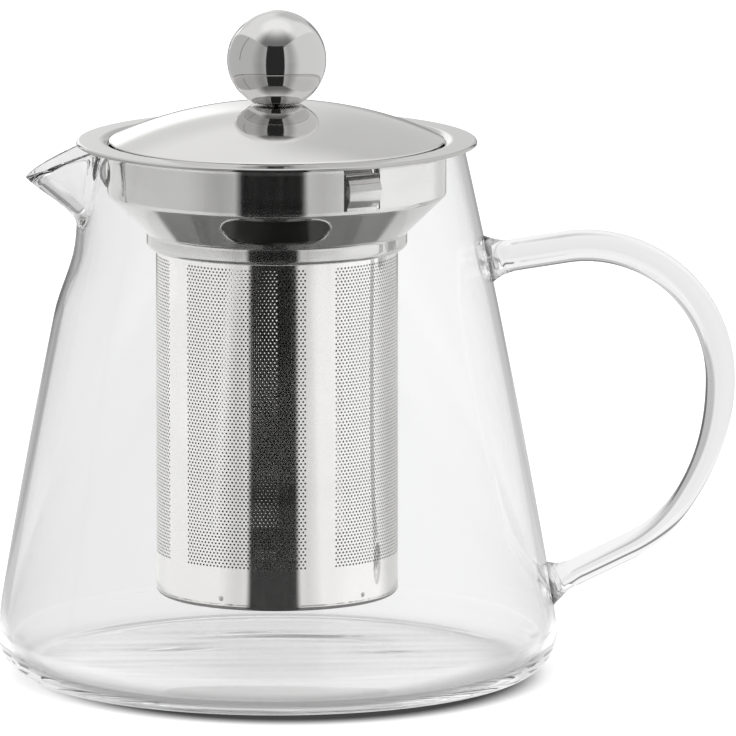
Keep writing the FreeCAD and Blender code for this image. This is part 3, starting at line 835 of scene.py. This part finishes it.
def build_tongue(index, middle):
    """A lanced spring tongue, bowed outwards, with a flat root at the foot of its window."""
    half = GAUGE / 2
    path = bent(
        (COLLAR - half, TONGUE_FOOT, 0),
        (COLLAR - half, TONGUE_FOOT + TONGUE_ROOT, TONGUE_ROOT_BEND),
        (TONGUE_OUT - half, TONGUE_KNEE, TONGUE_BOW),
        (COLLAR - half, TONGUE_TIP, 0),
    )
    outline = sheet_outline(path, GAUGE)[: 1 - EDGE_STEPS]
    edge = math.degrees(TONGUE_WIDTH / 2 / COLLAR)
    verts = []
    for aside in [-edge] + between(-edge, edge, TONGUE_STEPS):
        verts += [polar(r, middle + aside, z) for r, z in outline]
    count = len(outline)
    faces = ring_faces(TONGUE_STEPS + 1, count)
    faces += [tuple(range(count)), tuple(range(len(verts) - count, len(verts)))]
    make_piece(f"collar_tongue_{index}", verts, faces, "infuser", "collar_steel", COLLAR_STEEL)


def build_slot_rim(index, azimuth):
    """The rounded edge that pressing left round a slot, on the outside of the shoulder."""
    slope = math.sqrt(0.5)
    outwards, along = Vector((0, -slope, -slope)), Vector((0, -slope, slope))
    start = Vector((0, -SHOULDER_MIDDLE, SHOULDER_HEIGHT))
    outline = stadium(SLOT_LENGTH + SLOT_RIM, SLOT_WIDTH + SLOT_RIM)
    verts = []
    for corner, point in enumerate(outline):
        ahead = (outline[(corner + 1) % len(outline)] - outline[corner - 1]).normalized()
        aside = Vector((ahead.y, 0, 0)) - along * ahead.x
        fall_away = slope * point.x**2 / (2 * (SHOULDER_MIDDLE + slope * point.y))
        spot = start + Vector((point.x, 0, 0)) + along * point.y - outwards * fall_away
        for turn in full_circle(SLOT_RIM_AROUND):
            ring = aside * math.cos(turn) + outwards * math.sin(turn)
            verts.append(spin(azimuth) @ ((spot + ring * (SLOT_RIM / 2)) * MM))
    faces = ring_faces(len(outline), SLOT_RIM_AROUND, closed=True)
    name = f"collar_slot_rim_{index}"
    make_piece(name, verts, faces, "infuser", "collar_steel", COLLAR_STEEL, crease=False)


# Strainer tube
def grid_patch(verts, faces, radius, azimuths, heights):
    """Adds a patch of cylinder to a mesh."""
    start = len(verts)
    for height in heights:
        verts += [polar(radius, azimuth, height) for azimuth in azimuths]
    wide = len(azimuths)
    for row in range(len(heights) - 1):
        for column in range(wide - 1):
            corner = start + row * wide + column
            faces.append((corner, corner + 1, corner + wide + 1, corner + wide))


def end_ring(verts, faces, inner, height):
    """Adds the flat ring at an end of the tube to a mesh."""
    start = len(verts)
    for azimuth in range(0, 360, TUBE_EDGE_STEP):
        verts += [polar(inner, azimuth, height), polar(TUBE, azimuth, height)]
    count = len(verts) - start
    for k in range(0, count, 2):
        faces.append((start + k, start + k + 1, start + (k + 3) % count, start + (k + 2) % count))


def finish_tube_part(name, verts, faces, node=None):
    """Makes a part of the tube from its patches, with the faces at the inner radius in the duller, darker
    steel of painted shade.
    """
    mesh = bpy.data.meshes.new(name)
    mesh.from_pydata(verts, [], faces)
    piece = place(linked(name, mesh), "infuser", TUBE_STEEL, node)
    middle = (TUBE - TUBE_GAUGE / 2) * MM
    second_finish_or_shade(piece, INSIDE_STEEL_PAINTED_SHADE, lambda face: math.hypot(face.center.x, face.center.y) < middle)


def build_tube_frame():
    """The plain bands and strips of the tube, round the perforated fields."""
    verts, faces = [], []
    inner = TUBE - TUBE_GAUGE
    for radius in (TUBE, inner):
        everywhere = spread_over(0, 360, TUBE_STEP)
        for low, high in ((TUBE_LOW, FIELD_LOW), (FIELD_TOP, TUBE_TOP)):
            grid_patch(verts, faces, radius, everywhere, spread_over(low, high, BAND_RISE))
        for index, (start, width, field_top) in enumerate(FIELDS):
            following = FIELDS[(index + 1) % len(FIELDS)][0]
            end = start + width
            strip = spread_over(end, following + (360 if following < end else 0), STRIP_STEP)
            grid_patch(verts, faces, radius, strip, spread_over(FIELD_LOW, FIELD_TOP, STRIP_RISE))
            if field_top < FIELD_TOP:
                above = spread_over(start, end, STRIP_STEP)
                grid_patch(verts, faces, radius, above, (field_top, FIELD_TOP))
    for height in (TUBE_LOW, TUBE_TOP):
        end_ring(verts, faces, inner, height)
    finish_tube_part("strainer_tube_sheet", verts, faces, "strainer_tube")


def build_spot_welds():
    """Small round marks where the base is welded into the tube."""
    verts, faces = [], []
    for index in range(SPOTS):
        azimuth = SPOT_FIRST + 360 * index / SPOTS
        first = len(verts)
        verts.append(polar(TUBE + SPOT_CROWN, azimuth, SPOT_HEIGHT))
        for reach, proud in SPOT_RINGS:
            for turn in full_circle(SPOT_AROUND):
                sideways = math.degrees(SPOT * reach * math.cos(turn) / TUBE)
                height = SPOT_HEIGHT + SPOT * reach * math.sin(turn)
                verts.append(polar(TUBE + proud, azimuth + sideways, height))
        start = first + 1
        faces += [(first, start + step, start + (step + 1) % SPOT_AROUND) for step in range(SPOT_AROUND)]
        rings = ring_faces(len(SPOT_RINGS), SPOT_AROUND)
        faces += [tuple(start + corner for corner in reversed(face)) for face in rings]
    make_piece("strainer_spot_welds", verts, faces, "infuser", "strainer_steel", FIXING_STEEL)


def build_field(name, start, width, field_top):
    """One perforated field: staggered holes in a thin sheet, with the sheet's thickness in each hole."""
    columns = round(math.radians(width) * TUBE / HOLE_PITCH)
    rows = round((field_top - FIELD_LOW) / HOLE_ROW)
    pitch = width / columns
    rise = (field_top - FIELD_LOW) / rows
    inner = TUBE - TUBE_GAUGE
    arm = math.degrees(HOLE / TUBE)
    turns = [math.radians(angle) for angle in HOLE_CORNERS]
    ring = [(arm * math.cos(turn), HOLE * math.sin(turn)) for turn in turns]
    corners = len(ring)
    verts, faces = [], []
    wide = 2 * columns + 1
    for radius in (TUBE, inner):
        for row in range(rows + 1):
            verts += [polar(radius, start + pitch / 2 * k, FIELD_LOW + rise * row) for k in range(wide)]
    layer = wide * (rows + 1)
    for row in range(rows):
        low, high = row * wide, (row + 1) * wide
        shift = row % 2
        if shift:
            for k in (0, wide - 2):
                square = (low + k, low + k + 1, high + k + 1, high + k)
                faces += [square, tuple(corner + layer for corner in reversed(square))]
        for column in range(columns - shift):
            k = 2 * column + shift
            cell = (low + k, low + k + 1, low + k + 2, high + k + 2, high + k + 1, high + k)
            azimuth = start + pitch / 2 * (k + 1)
            height = FIELD_LOW + rise * (row + 0.5)
            outer_edge, inner_edge, wall_out, wall_in = range(len(verts), len(verts) + 4 * corners, corners)
            for radius in (TUBE, inner, TUBE, inner):
                verts += [polar(radius, azimuth + a, height + z) for a, z in ring]
            for here in range(corners):
                after = (here + 1) % corners
                faces.append((cell[here], cell[after], outer_edge + after, outer_edge + here))
                faces.append((cell[after] + layer, cell[here] + layer, inner_edge + here, inner_edge + after))
                faces.append((wall_out + here, wall_out + after, wall_in + after, wall_in + here))
    finish_tube_part(name, verts, faces)


def build_base():
    half = TUBE_GAUGE / 2
    path = bent(
        (0, BASE_LOW + half, 0),
        (TUBE - half, BASE_LOW + half, BASE_BEND),
        (TUBE - half, TUBE_LOW, BASE_JOG_BEND),
        (TUBE - TUBE_GAUGE - half, TUBE_LOW + BASE_JOG, BASE_JOG_BEND),
        (TUBE - TUBE_GAUGE - half, TUBE_LOW + BASE_RIM, 0),
    )
    shape = lathe([(max(0.0, r), z) for r, z in sheet_outline(path, TUBE_GAUGE)])
    name = "strainer_base_cup"
    piece = make_piece(name, *shape, "infuser", "strainer_steel", TUBE_STEEL, "strainer_base")
    second_finish_or_shade(piece, UNDER_STEEL, lambda face: face.normal.z < FACES_DOWN)


# Lid
def dome_height(radius, out):
    return LID_TOP - DOME + math.sqrt(radius * radius - out * out)


def build_lid():
    half = GAUGE / 2
    first = LID_HOLE + half
    reaches = [first] + between(first, LID - half, LID_STEPS)
    dome = [Vector((r, dome_height(DOME - half, r))) for r in reaches]
    shape = lathe(sheet_outline(dome, GAUGE), WIDE_TURN)
    make_piece("lid_dome_sheet", *shape, "lid", "lid_steel", LID_STEEL, "lid_dome", crease=False)
    under = DOME - GAUGE - half
    skirt = bent(
        (SKIRT_LIP, dome_height(under, SKIRT_LIP), 0),
        (SKIRT - half, dome_height(under, SKIRT - half), SKIRT_BEND),
        (SKIRT - half, SKIRT_LOW + half, 0),
    )
    shape = lathe(sheet_outline(skirt, GAUGE))
    make_piece("lid_skirt_sheet", *shape, "lid", "lid_steel", LID_STEEL, "lid_skirt")


def build_knob():
    """The ball, with its flat underside and the short neck that seats on the dome."""
    under_angle = -math.acos(BALL_FOOT / BALL)
    underside = BALL_MIDDLE + BALL * math.sin(under_angle)
    seat = dome_height(DOME, BALL_NECK)
    edge_from, edge_to, edge_rise = BALL_EDGE
    outline = [
        (0, seat + SEAT_HOLLOW),
        (BALL_NECK - NECK_EDGE, seat + SEAT_GAP),
        (BALL_NECK, seat + NECK_EDGE),
        (BALL_NECK, underside - NECK_FILLET),
        (BALL_NECK + NECK_FILLET, underside),
        (BALL_FOOT - edge_from, underside),
        (BALL_FOOT - edge_to, underside + edge_rise),
    ]
    outline += arc((0, BALL_MIDDLE), BALL, under_angle + BALL_EDGE_TURN, math.pi / 2, BALL_STEPS)
    outline[-1].x = 0
    make_piece("knob_ball_steel", *lathe(outline), "lid", "knob_steel", KNOB_STEEL, "knob_ball")


# Stage
# The studio as rays meet it that metal and glass send on: panels over a base brightness, where a later one
# covers an earlier one. Each has a from and to azimuth, in the world also a from and to elevation, then its
# softness, all in degrees, and its brightness. Azimuths go towards the handle, from the back in
# MIRRORED_BACK, CLEAR_BACK, WALL_EDGE, BEHIND and CLEAR_FLOOR and from the front in the others. Reaches have
# a from and to and a softness, in metres on the floor, with None for an open side.
MIRRORED_BASE = 0.92  # the studio as metal shows it
MIRRORED_BACK = (
    (-200, 200, 64, 100, 8, 1.08),
    (0, 34, -20, 52, 8, 0.64),
    (2, 14, -20, 4, 2.5, 0.36),
    (-40, 0, 18, 32, 6, 0.78),
    (-34, -3, -20, 18, 3, 1.25),
    (17, 23, -20, 16, 2, 0.1),
    (-25, -19, -20, 16, 2, 0.14),
)
MIRRORED_TOP = ((-60, 60, 18, 68, 24, 0.2),)
# Upright softboxes: from and to azimuth and softness, the azimuth they face from, the rise of their top edge
# for each step they stand away, and their brightness
SOFTBOXES = (
    (-150, -25, 2.5, -70, 0.9, 0.56),
    (-52, -25, 14, -70, 0.9, 0.38),
    (-97, -94, 0.8, -70, 0.88, 0.3),
    (19, 150, 2.5, 70, 1.08, 0.78),
    (19, 46, 14, 70, 1.08, 0.45),
)
SOFTBOX_EDGE_SOFT = 0.03
GAPS = ((-25, 19, -20, 39, 1.5, 0.028),)  # the dark gap between the softboxes
IN_WALL = 0.62  # least brightness of what glass mirrors inside its wall
# What the pot's outline shows of the far end of the studio, for rays mirrored few times inside a wall
WALL_EDGE = (
    (-30, -6, 4, 0.24),
    (-17, -6, 2, 0.13),
    (8, 28, 4, 0.46),
)
WALL_EDGE_TIMES = 3.5  # how often at most, and the reach of that on the floor and up the world
WALL_EDGE_FAR = (0.15, None, 0.03)
WALL_EDGE_LOW = (None, 10, 4)
CLEAR_BASE = 0.55  # the studio as seen through glass
CLEAR_BACK = (
    (-48, 30, -20, 34, 6, 0.92),
    (30, 50, -20, 34, 4, 0.55),
    (52, 100, -20, 40, 4, 0.05),
    (-40, -3, 7, 12, 1.5, 0.2),
    (-25, 40, 28, 38, 2, 0.5),
    (-25, 40, 40, 56, 1.5, 0.05),
    (-20, 20, 58, 66, 1.5, 0.95),
)
INSIDE_BASE = 1.0  # the floor as steel inside the pot shows it: near by in the tube, far off in the collar
TUBE_FLOOR = (
    (-125, -25, 5, 1.07),
    (-44, -25, 10, 0.85),
    (19, 70, 5, 1.1),
    (19, 34, 8, 0.85),
    (60, 115, 12, 1.2),
    (115, 176, 14, 0.78),
    (-25, 19, 3, 0.012),
)
COLLAR_FLOOR = (
    (-125, -25, 5, 0.84),
    (-50, -25, 14, 0.58),
    (19, 70, 5, 0.92),
    (19, 40, 12, 0.72),
    (60, 135, 12, 1.4),
    (135, 176, 12, 0.9),
    (-25, 19, 3, 0.012),
)
COLLAR_FAR = (0.7, None, 0.03)
OUTSIDE_BASE = 0.72  # the floor as the metal outside the pot shows it
OUTSIDE_FLOOR = (
    (-150, -25, 2.5, 0.56),
    (-52, -25, 14, 0.36),
    (19, 150, 2.5, 0.78),
    (19, 46, 14, 0.42),
    (-25, 19, 1.5, 0.028),
)
BEHIND = (-22, 22, 6)  # azimuths, reach and brightness of the floor's dark far end
BEHIND_FAR = (0.6, None, 0.1)
BEHIND_GREY = 0.3
CLEAR_FLOOR_BASE = 0.86  # the floor as seen through the handle
CLEAR_FLOOR = (
    (28, 50, 4, 0.5),
    (50, 120, 4, 0.03),
    (-110, -46, 5, 0.4),
)
CLEAR_FAR = (0.14, None, 0.03)
THROUGH_GLASS = 0.7  # how much of the floor's shade glass takes away
POT_SIDES = (0.69, 0.81)  # brightness the pot's glass gives the floor instead, on the left and the right
POT_RIGHT = (0, None, 0.05)
FOOT_SIDES = (0.8, 1.08)  # the same for the floor under the foot
FOOT_RIGHT = (0.012, None, 0.02)
FOOT_REACH = (None, 0.052, 0.006)
# Painted shade on the floor under the front of the heel, seen through the glass and inside its wall
HEEL_REACH = (0.052, 0.075, 0.006)  # the shade under the front of the heel
HEEL_FRONT = (None, 0.01, 0.02)
HEEL_GREY = 0.33
ONCE = 1.5  # more mirrorings than this are more than one
LONG_WAY = 4.5  # mirrorings in a wall after which light is dimmed, and its brightness then
LONG_GREY = 0.5
# Painted shade on the floor below the pot, which only metal shows
UNDER_POT = (None, 0.125, 0.01)  # the shade below the pot, as metal shows it once and more often
UNDER_FOOT = (None, 0.072, 0.005)
UNDER_GREY = 0.16
# The shade where the pot stands is a painted shadow on the floor, laid over the one the lamp casts
CONTACT_AT = (0.003, -0.004, 0)  # middle, stretch, reach and brightness of the shade where the pot stands
CONTACT_STRETCH = (1.0, 1.1, 1.0)
CONTACT_REACH = (None, 0.0575, 0.005)
CONTACT_GREY = 0.06
FLOOR_COLOUR = 0.86
FLOOR_GLOW = 0.6
FLOOR_DROP = -0.00005
FLOOR_RADIUS = 6
FLOOR_EDGES = 96
POT_WALLS = 4.0  # surfaces of glass that a ray passes on its way to the steel inside the pot
WORLD_LIGHT = 0.68
LAMP_AT = Vector((-0.4, 0.3, 1.6))
LAMP_SIZE = 1.4
LAMP_POWER = 7
CAMERA_LENS = 658.9
CAMERA_DISTANCE = 3.2
CAMERA_ELEVATION = math.radians(9.4)
CAMERA_AIM = Vector((0.0216, 0, 0.0729))
LIGHT_BOUNCES = 64  # most bounces in all, and those off metal and through glass
MIRRORED_BOUNCES = 48
PASSED_BOUNCES = 16


class Rays:
    """What the stage knows of the rays that meet it, mostly as one for some rays and nothing for others."""

    def __init__(self, graph):
        path = graph.add("LightPath").outputs
        surfaces = path["Transmission Depth"]
        self.camera = path["Is Camera Ray"]
        self.passed = path["Is Transmission Ray"]
        sent_on = graph.calc("MAXIMUM", path["Is Glossy Ray"], self.passed)
        self.seen = graph.calc("MAXIMUM", sent_on, self.camera)
        self.times = path["Glossy Depth"]
        self.mirrored = graph.calc("MINIMUM", self.times, 1.0)
        self.outside = graph.calc("LESS_THAN", surfaces, 0.5)
        self.inside_pot = graph.calc("COMPARE", surfaces, POT_WALLS, 0.5)
        self.in_wall = graph.calc("SUBTRACT", graph.calc("GREATER_THAN", surfaces, 0.5), self.inside_pot)
        few = graph.calc("LESS_THAN", self.times, WALL_EDGE_TIMES)
        self.wall_edge = graph.times(self.in_wall, few, self.mirrored)


# A spot on the floor: its position, azimuths, place from side to side, distance from the middle, and share of
# the painted shade under the heel
Spot = namedtuple("Spot", "position azimuth from_back across away heel")


def emptied_graph(owner):
    """The emptied node tree of a material or a world."""
    owner.use_nodes = True
    owner.node_tree.nodes.clear()
    return Graph(owner.node_tree)


def floor_spot(graph):
    position = graph.add("NewGeometry").outputs["Position"]
    azimuth, from_back, parts = graph.azimuths(position)
    away = graph.distance(position)
    heel = graph.times(graph.window(parts["Y"], *HEEL_FRONT), graph.window(away, *HEEL_REACH))
    return Spot(position, azimuth, from_back, parts["X"], away, heel)


def floor_panels(graph, azimuth, level, panels):
    """Brightness of the floor's panels over what lies below them."""
    for first, last, soft, bright in panels:
        level = graph.blended(graph.window(azimuth, first, last, soft), level, bright)
    return level


def lit_floor(graph, rays):
    """The floor as the lamp lights it, with a glow for rays that are seen."""
    matt = graph.add("BsdfDiffuse", Color=(FLOOR_COLOUR, FLOOR_COLOUR, FLOOR_COLOUR, 1))
    glow = graph.add("Emission", Strength=graph.times(rays.seen, FLOOR_GLOW))
    white = graph.add("AddShader")
    graph.feed(white.inputs[0], matt.outputs["BSDF"])
    graph.feed(white.inputs[1], glow.outputs["Emission"])
    return white.outputs["Shader"]


def floor_in_glass(graph, rays, spot, shader):
    """The floor as seen straight through the pot, and through the handle beside it."""
    in_pot = graph.blended(graph.window(spot.across, *POT_RIGHT), *POT_SIDES)
    under_foot = graph.blended(graph.window(spot.across, *FOOT_RIGHT), *FOOT_SIDES)
    in_pot = graph.blended(graph.window(spot.away, *FOOT_REACH), in_pot, under_foot)
    in_pot = graph.blended(spot.heel, in_pot, HEEL_GREY)
    in_handle = floor_panels(graph, spot.from_back, CLEAR_FLOOR_BASE, CLEAR_FLOOR)
    beside = graph.times(rays.in_wall, graph.window(spot.away, *CLEAR_FAR))
    straight_on = graph.times(rays.passed, graph.calc("SUBTRACT", 1.0, rays.mirrored))
    share = graph.times(straight_on, graph.blended(beside, THROUGH_GLASS, 1.0))
    return graph.covered(share, shader, graph.blended(beside, in_pot, in_handle))


def floor_in_metal(graph, rays, spot, shader):
    """The floor as metal shows it, with a dark far end and a painted shade below the pot."""
    in_tube = floor_panels(graph, spot.azimuth, INSIDE_BASE, TUBE_FLOOR)
    in_collar = floor_panels(graph, spot.azimuth, INSIDE_BASE, COLLAR_FLOOR)
    panels = graph.blended(graph.window(spot.away, *COLLAR_FAR), in_tube, in_collar)
    outside_floor = floor_panels(graph, spot.azimuth, OUTSIDE_BASE, OUTSIDE_FLOOR)
    panels = graph.blended(rays.outside, panels, outside_floor)
    far_end = graph.times(graph.window(spot.from_back, *BEHIND), graph.window(spot.away, *BEHIND_FAR))
    panels = graph.blended(far_end, panels, BEHIND_GREY)
    level = graph.calc("MAXIMUM", panels, graph.times(rays.in_wall, IN_WALL))
    under = graph.window(spot.away, *UNDER_POT)
    level = graph.blended(under, level, graph.calc("MINIMUM", panels, UNDER_GREY))
    once = graph.calc("LESS_THAN", rays.times, ONCE)
    near_foot = graph.window(spot.away, *UNDER_FOOT)
    shaded = graph.times(rays.inside_pot, graph.calc("MAXIMUM", once, near_foot))
    share = graph.times(rays.mirrored, graph.blended(under, 1.0, shaded))
    return graph.covered(share, shader, level)


def floor_in_wall(graph, rays, spot, shader):
    """The floor for light mirrored inside a glass wall: at the pot's outline, with a painted shade under its
    heel, and often.
    """
    far = graph.window(spot.away, *WALL_EDGE_FAR)
    outline = floor_panels(graph, spot.from_back, IN_WALL, WALL_EDGE)
    shader = graph.covered(graph.times(rays.wall_edge, far), shader, outline)
    shader = graph.covered(graph.times(rays.in_wall, rays.mirrored, spot.heel), shader, HEEL_GREY)
    often = graph.calc("GREATER_THAN", rays.times, LONG_WAY)
    return graph.covered(graph.times(rays.in_wall, often), shader, LONG_GREY)


def contact_shade(graph, rays, spot, shader):
    """A painted shadow where the pot stands, which only camera rays see."""
    away = graph.distance(spot.position, CONTACT_AT, CONTACT_STRETCH)
    contact = graph.window(away, *CONTACT_REACH)
    return graph.covered(graph.times(contact, rays.camera), shader, CONTACT_GREY)


def build_floor():
    turns = full_circle(FLOOR_EDGES)
    rim = [(FLOOR_RADIUS * math.cos(turn), FLOOR_RADIUS * math.sin(turn), FLOOR_DROP) for turn in turns]
    mesh = bpy.data.meshes.new("floor")
    mesh.from_pydata(rim, [], [tuple(range(FLOOR_EDGES))])
    floor = linked("floor", mesh)
    material = bpy.data.materials.new("floor_white")
    graph = emptied_graph(material)
    rays = Rays(graph)
    spot = floor_spot(graph)
    shader = lit_floor(graph, rays)
    for layer in (floor_in_glass, floor_in_metal, floor_in_wall, contact_shade):
        shader = layer(graph, rays, spot, shader)
    graph.add("OutputMaterial", Surface=shader)
    mesh.materials.append(material)


def studio_panels(graph, azimuth, elevation, level, panels):
    """Brightness of the studio's panels over what lies behind them."""
    for first, last, low, high, soft, bright in panels:
        sideways = graph.window(azimuth, first, last, soft)
        upwards = graph.window(elevation, low, high, soft)
        level = graph.blended(graph.times(sideways, upwards), level, bright)
    return level


def softboxes(graph, direction, azimuth, level):
    """Brightness of the upright softboxes over what lies behind them."""
    for first, last, soft, facing, rise, bright in SOFTBOXES:
        turned = math.radians(facing)
        below = graph.add("VectorMath")
        below.operation = "DOT_PRODUCT"
        below.inputs[1].default_value = (rise * math.sin(turned), -rise * math.cos(turned), -1)
        graph.feed(below.inputs[0], direction)
        below_edge = graph.window(below.outputs["Value"], 0, None, SOFTBOX_EDGE_SOFT)
        sideways = graph.window(azimuth, first, last, soft)
        level = graph.blended(graph.times(sideways, below_edge), level, bright)
    return level


def build_world():
    world = bpy.data.worlds.new("studio")
    bpy.context.scene.world = world
    graph = emptied_graph(world)
    rays = Rays(graph)
    direction = graph.add("TexCoord").outputs["Generated"]
    azimuth, from_back, parts = graph.azimuths(direction)
    elevation = graph.calc("DEGREES", graph.calc("ARCSINE", parts["Z"]))
    in_glass = studio_panels(graph, from_back, elevation, CLEAR_BASE, CLEAR_BACK)
    lights = studio_panels(graph, from_back, elevation, MIRRORED_BASE, MIRRORED_BACK)
    lights = studio_panels(graph, azimuth, elevation, lights, MIRRORED_TOP)
    lights = softboxes(graph, direction, azimuth, lights)
    in_metal = studio_panels(graph, azimuth, elevation, lights, GAPS)
    in_wall = graph.calc("MAXIMUM", lights, IN_WALL)
    often = graph.calc("GREATER_THAN", rays.times, ONCE)
    mirrored = graph.blended(graph.times(rays.in_wall, often), in_metal, in_wall)
    low = graph.window(elevation, *WALL_EDGE_LOW)
    outline = floor_panels(graph, from_back, IN_WALL, WALL_EDGE)
    mirrored = graph.blended(graph.times(rays.wall_edge, low), mirrored, outline)
    level = graph.blended(rays.mirrored, in_glass, mirrored)
    level = graph.blended(rays.camera, level, 1.0)
    level = graph.blended(rays.seen, WORLD_LIGHT, level)
    sky = graph.add("Background", Color=(1, 1, 1, 1), Strength=level)
    graph.add("OutputWorld", Surface=sky.outputs["Background"])


def build_lamp():
    data = bpy.data.lights.new("softbox", "AREA")
    data.shape = "SQUARE"
    data.size = LAMP_SIZE
    data.energy = LAMP_POWER
    lamp = linked("softbox", data)
    lamp.location = LAMP_AT
    lamp.rotation_euler = (-LAMP_AT).to_track_quat("-Z", "Y").to_euler()
    lamp.visible_glossy = False
    lamp.visible_transmission = False


def build_camera():
    data = bpy.data.cameras.new("camera")
    data.lens = CAMERA_LENS
    camera = linked("camera", data)
    back = Vector((0, -math.cos(CAMERA_ELEVATION), math.sin(CAMERA_ELEVATION)))
    camera.location = CAMERA_AIM + back * CAMERA_DISTANCE
    camera.rotation_euler = (-back).to_track_quat("-Z", "Y").to_euler()
    bpy.context.scene.camera = camera


def set_light_paths(limits):
    """Enough bounces for light that runs along inside the glass to come out again."""
    limits.max_bounces = LIGHT_BOUNCES
    limits.glossy_bounces = MIRRORED_BOUNCES
    limits.transmission_bounces = PASSED_BOUNCES


build_pot()
build_handle()
build_collar()
build_tube_frame()
for field_index, field in enumerate(FIELDS):
    build_field(f"strainer_field_{field_index}", *field)
build_base()
build_spot_welds()
build_lid()
build_knob()
for cad_node in ("knob_washer", "knob_screw"):
    cad_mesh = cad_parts[cad_node].data
    cad_mesh.materials.clear()
    cad_mesh.materials.append(FIXING_STEEL)
build_floor()
build_world()
build_lamp()
build_camera()
bpy.context.scene.view_settings.view_transform = "Standard"
set_light_paths(bpy.context.scene.cycles)
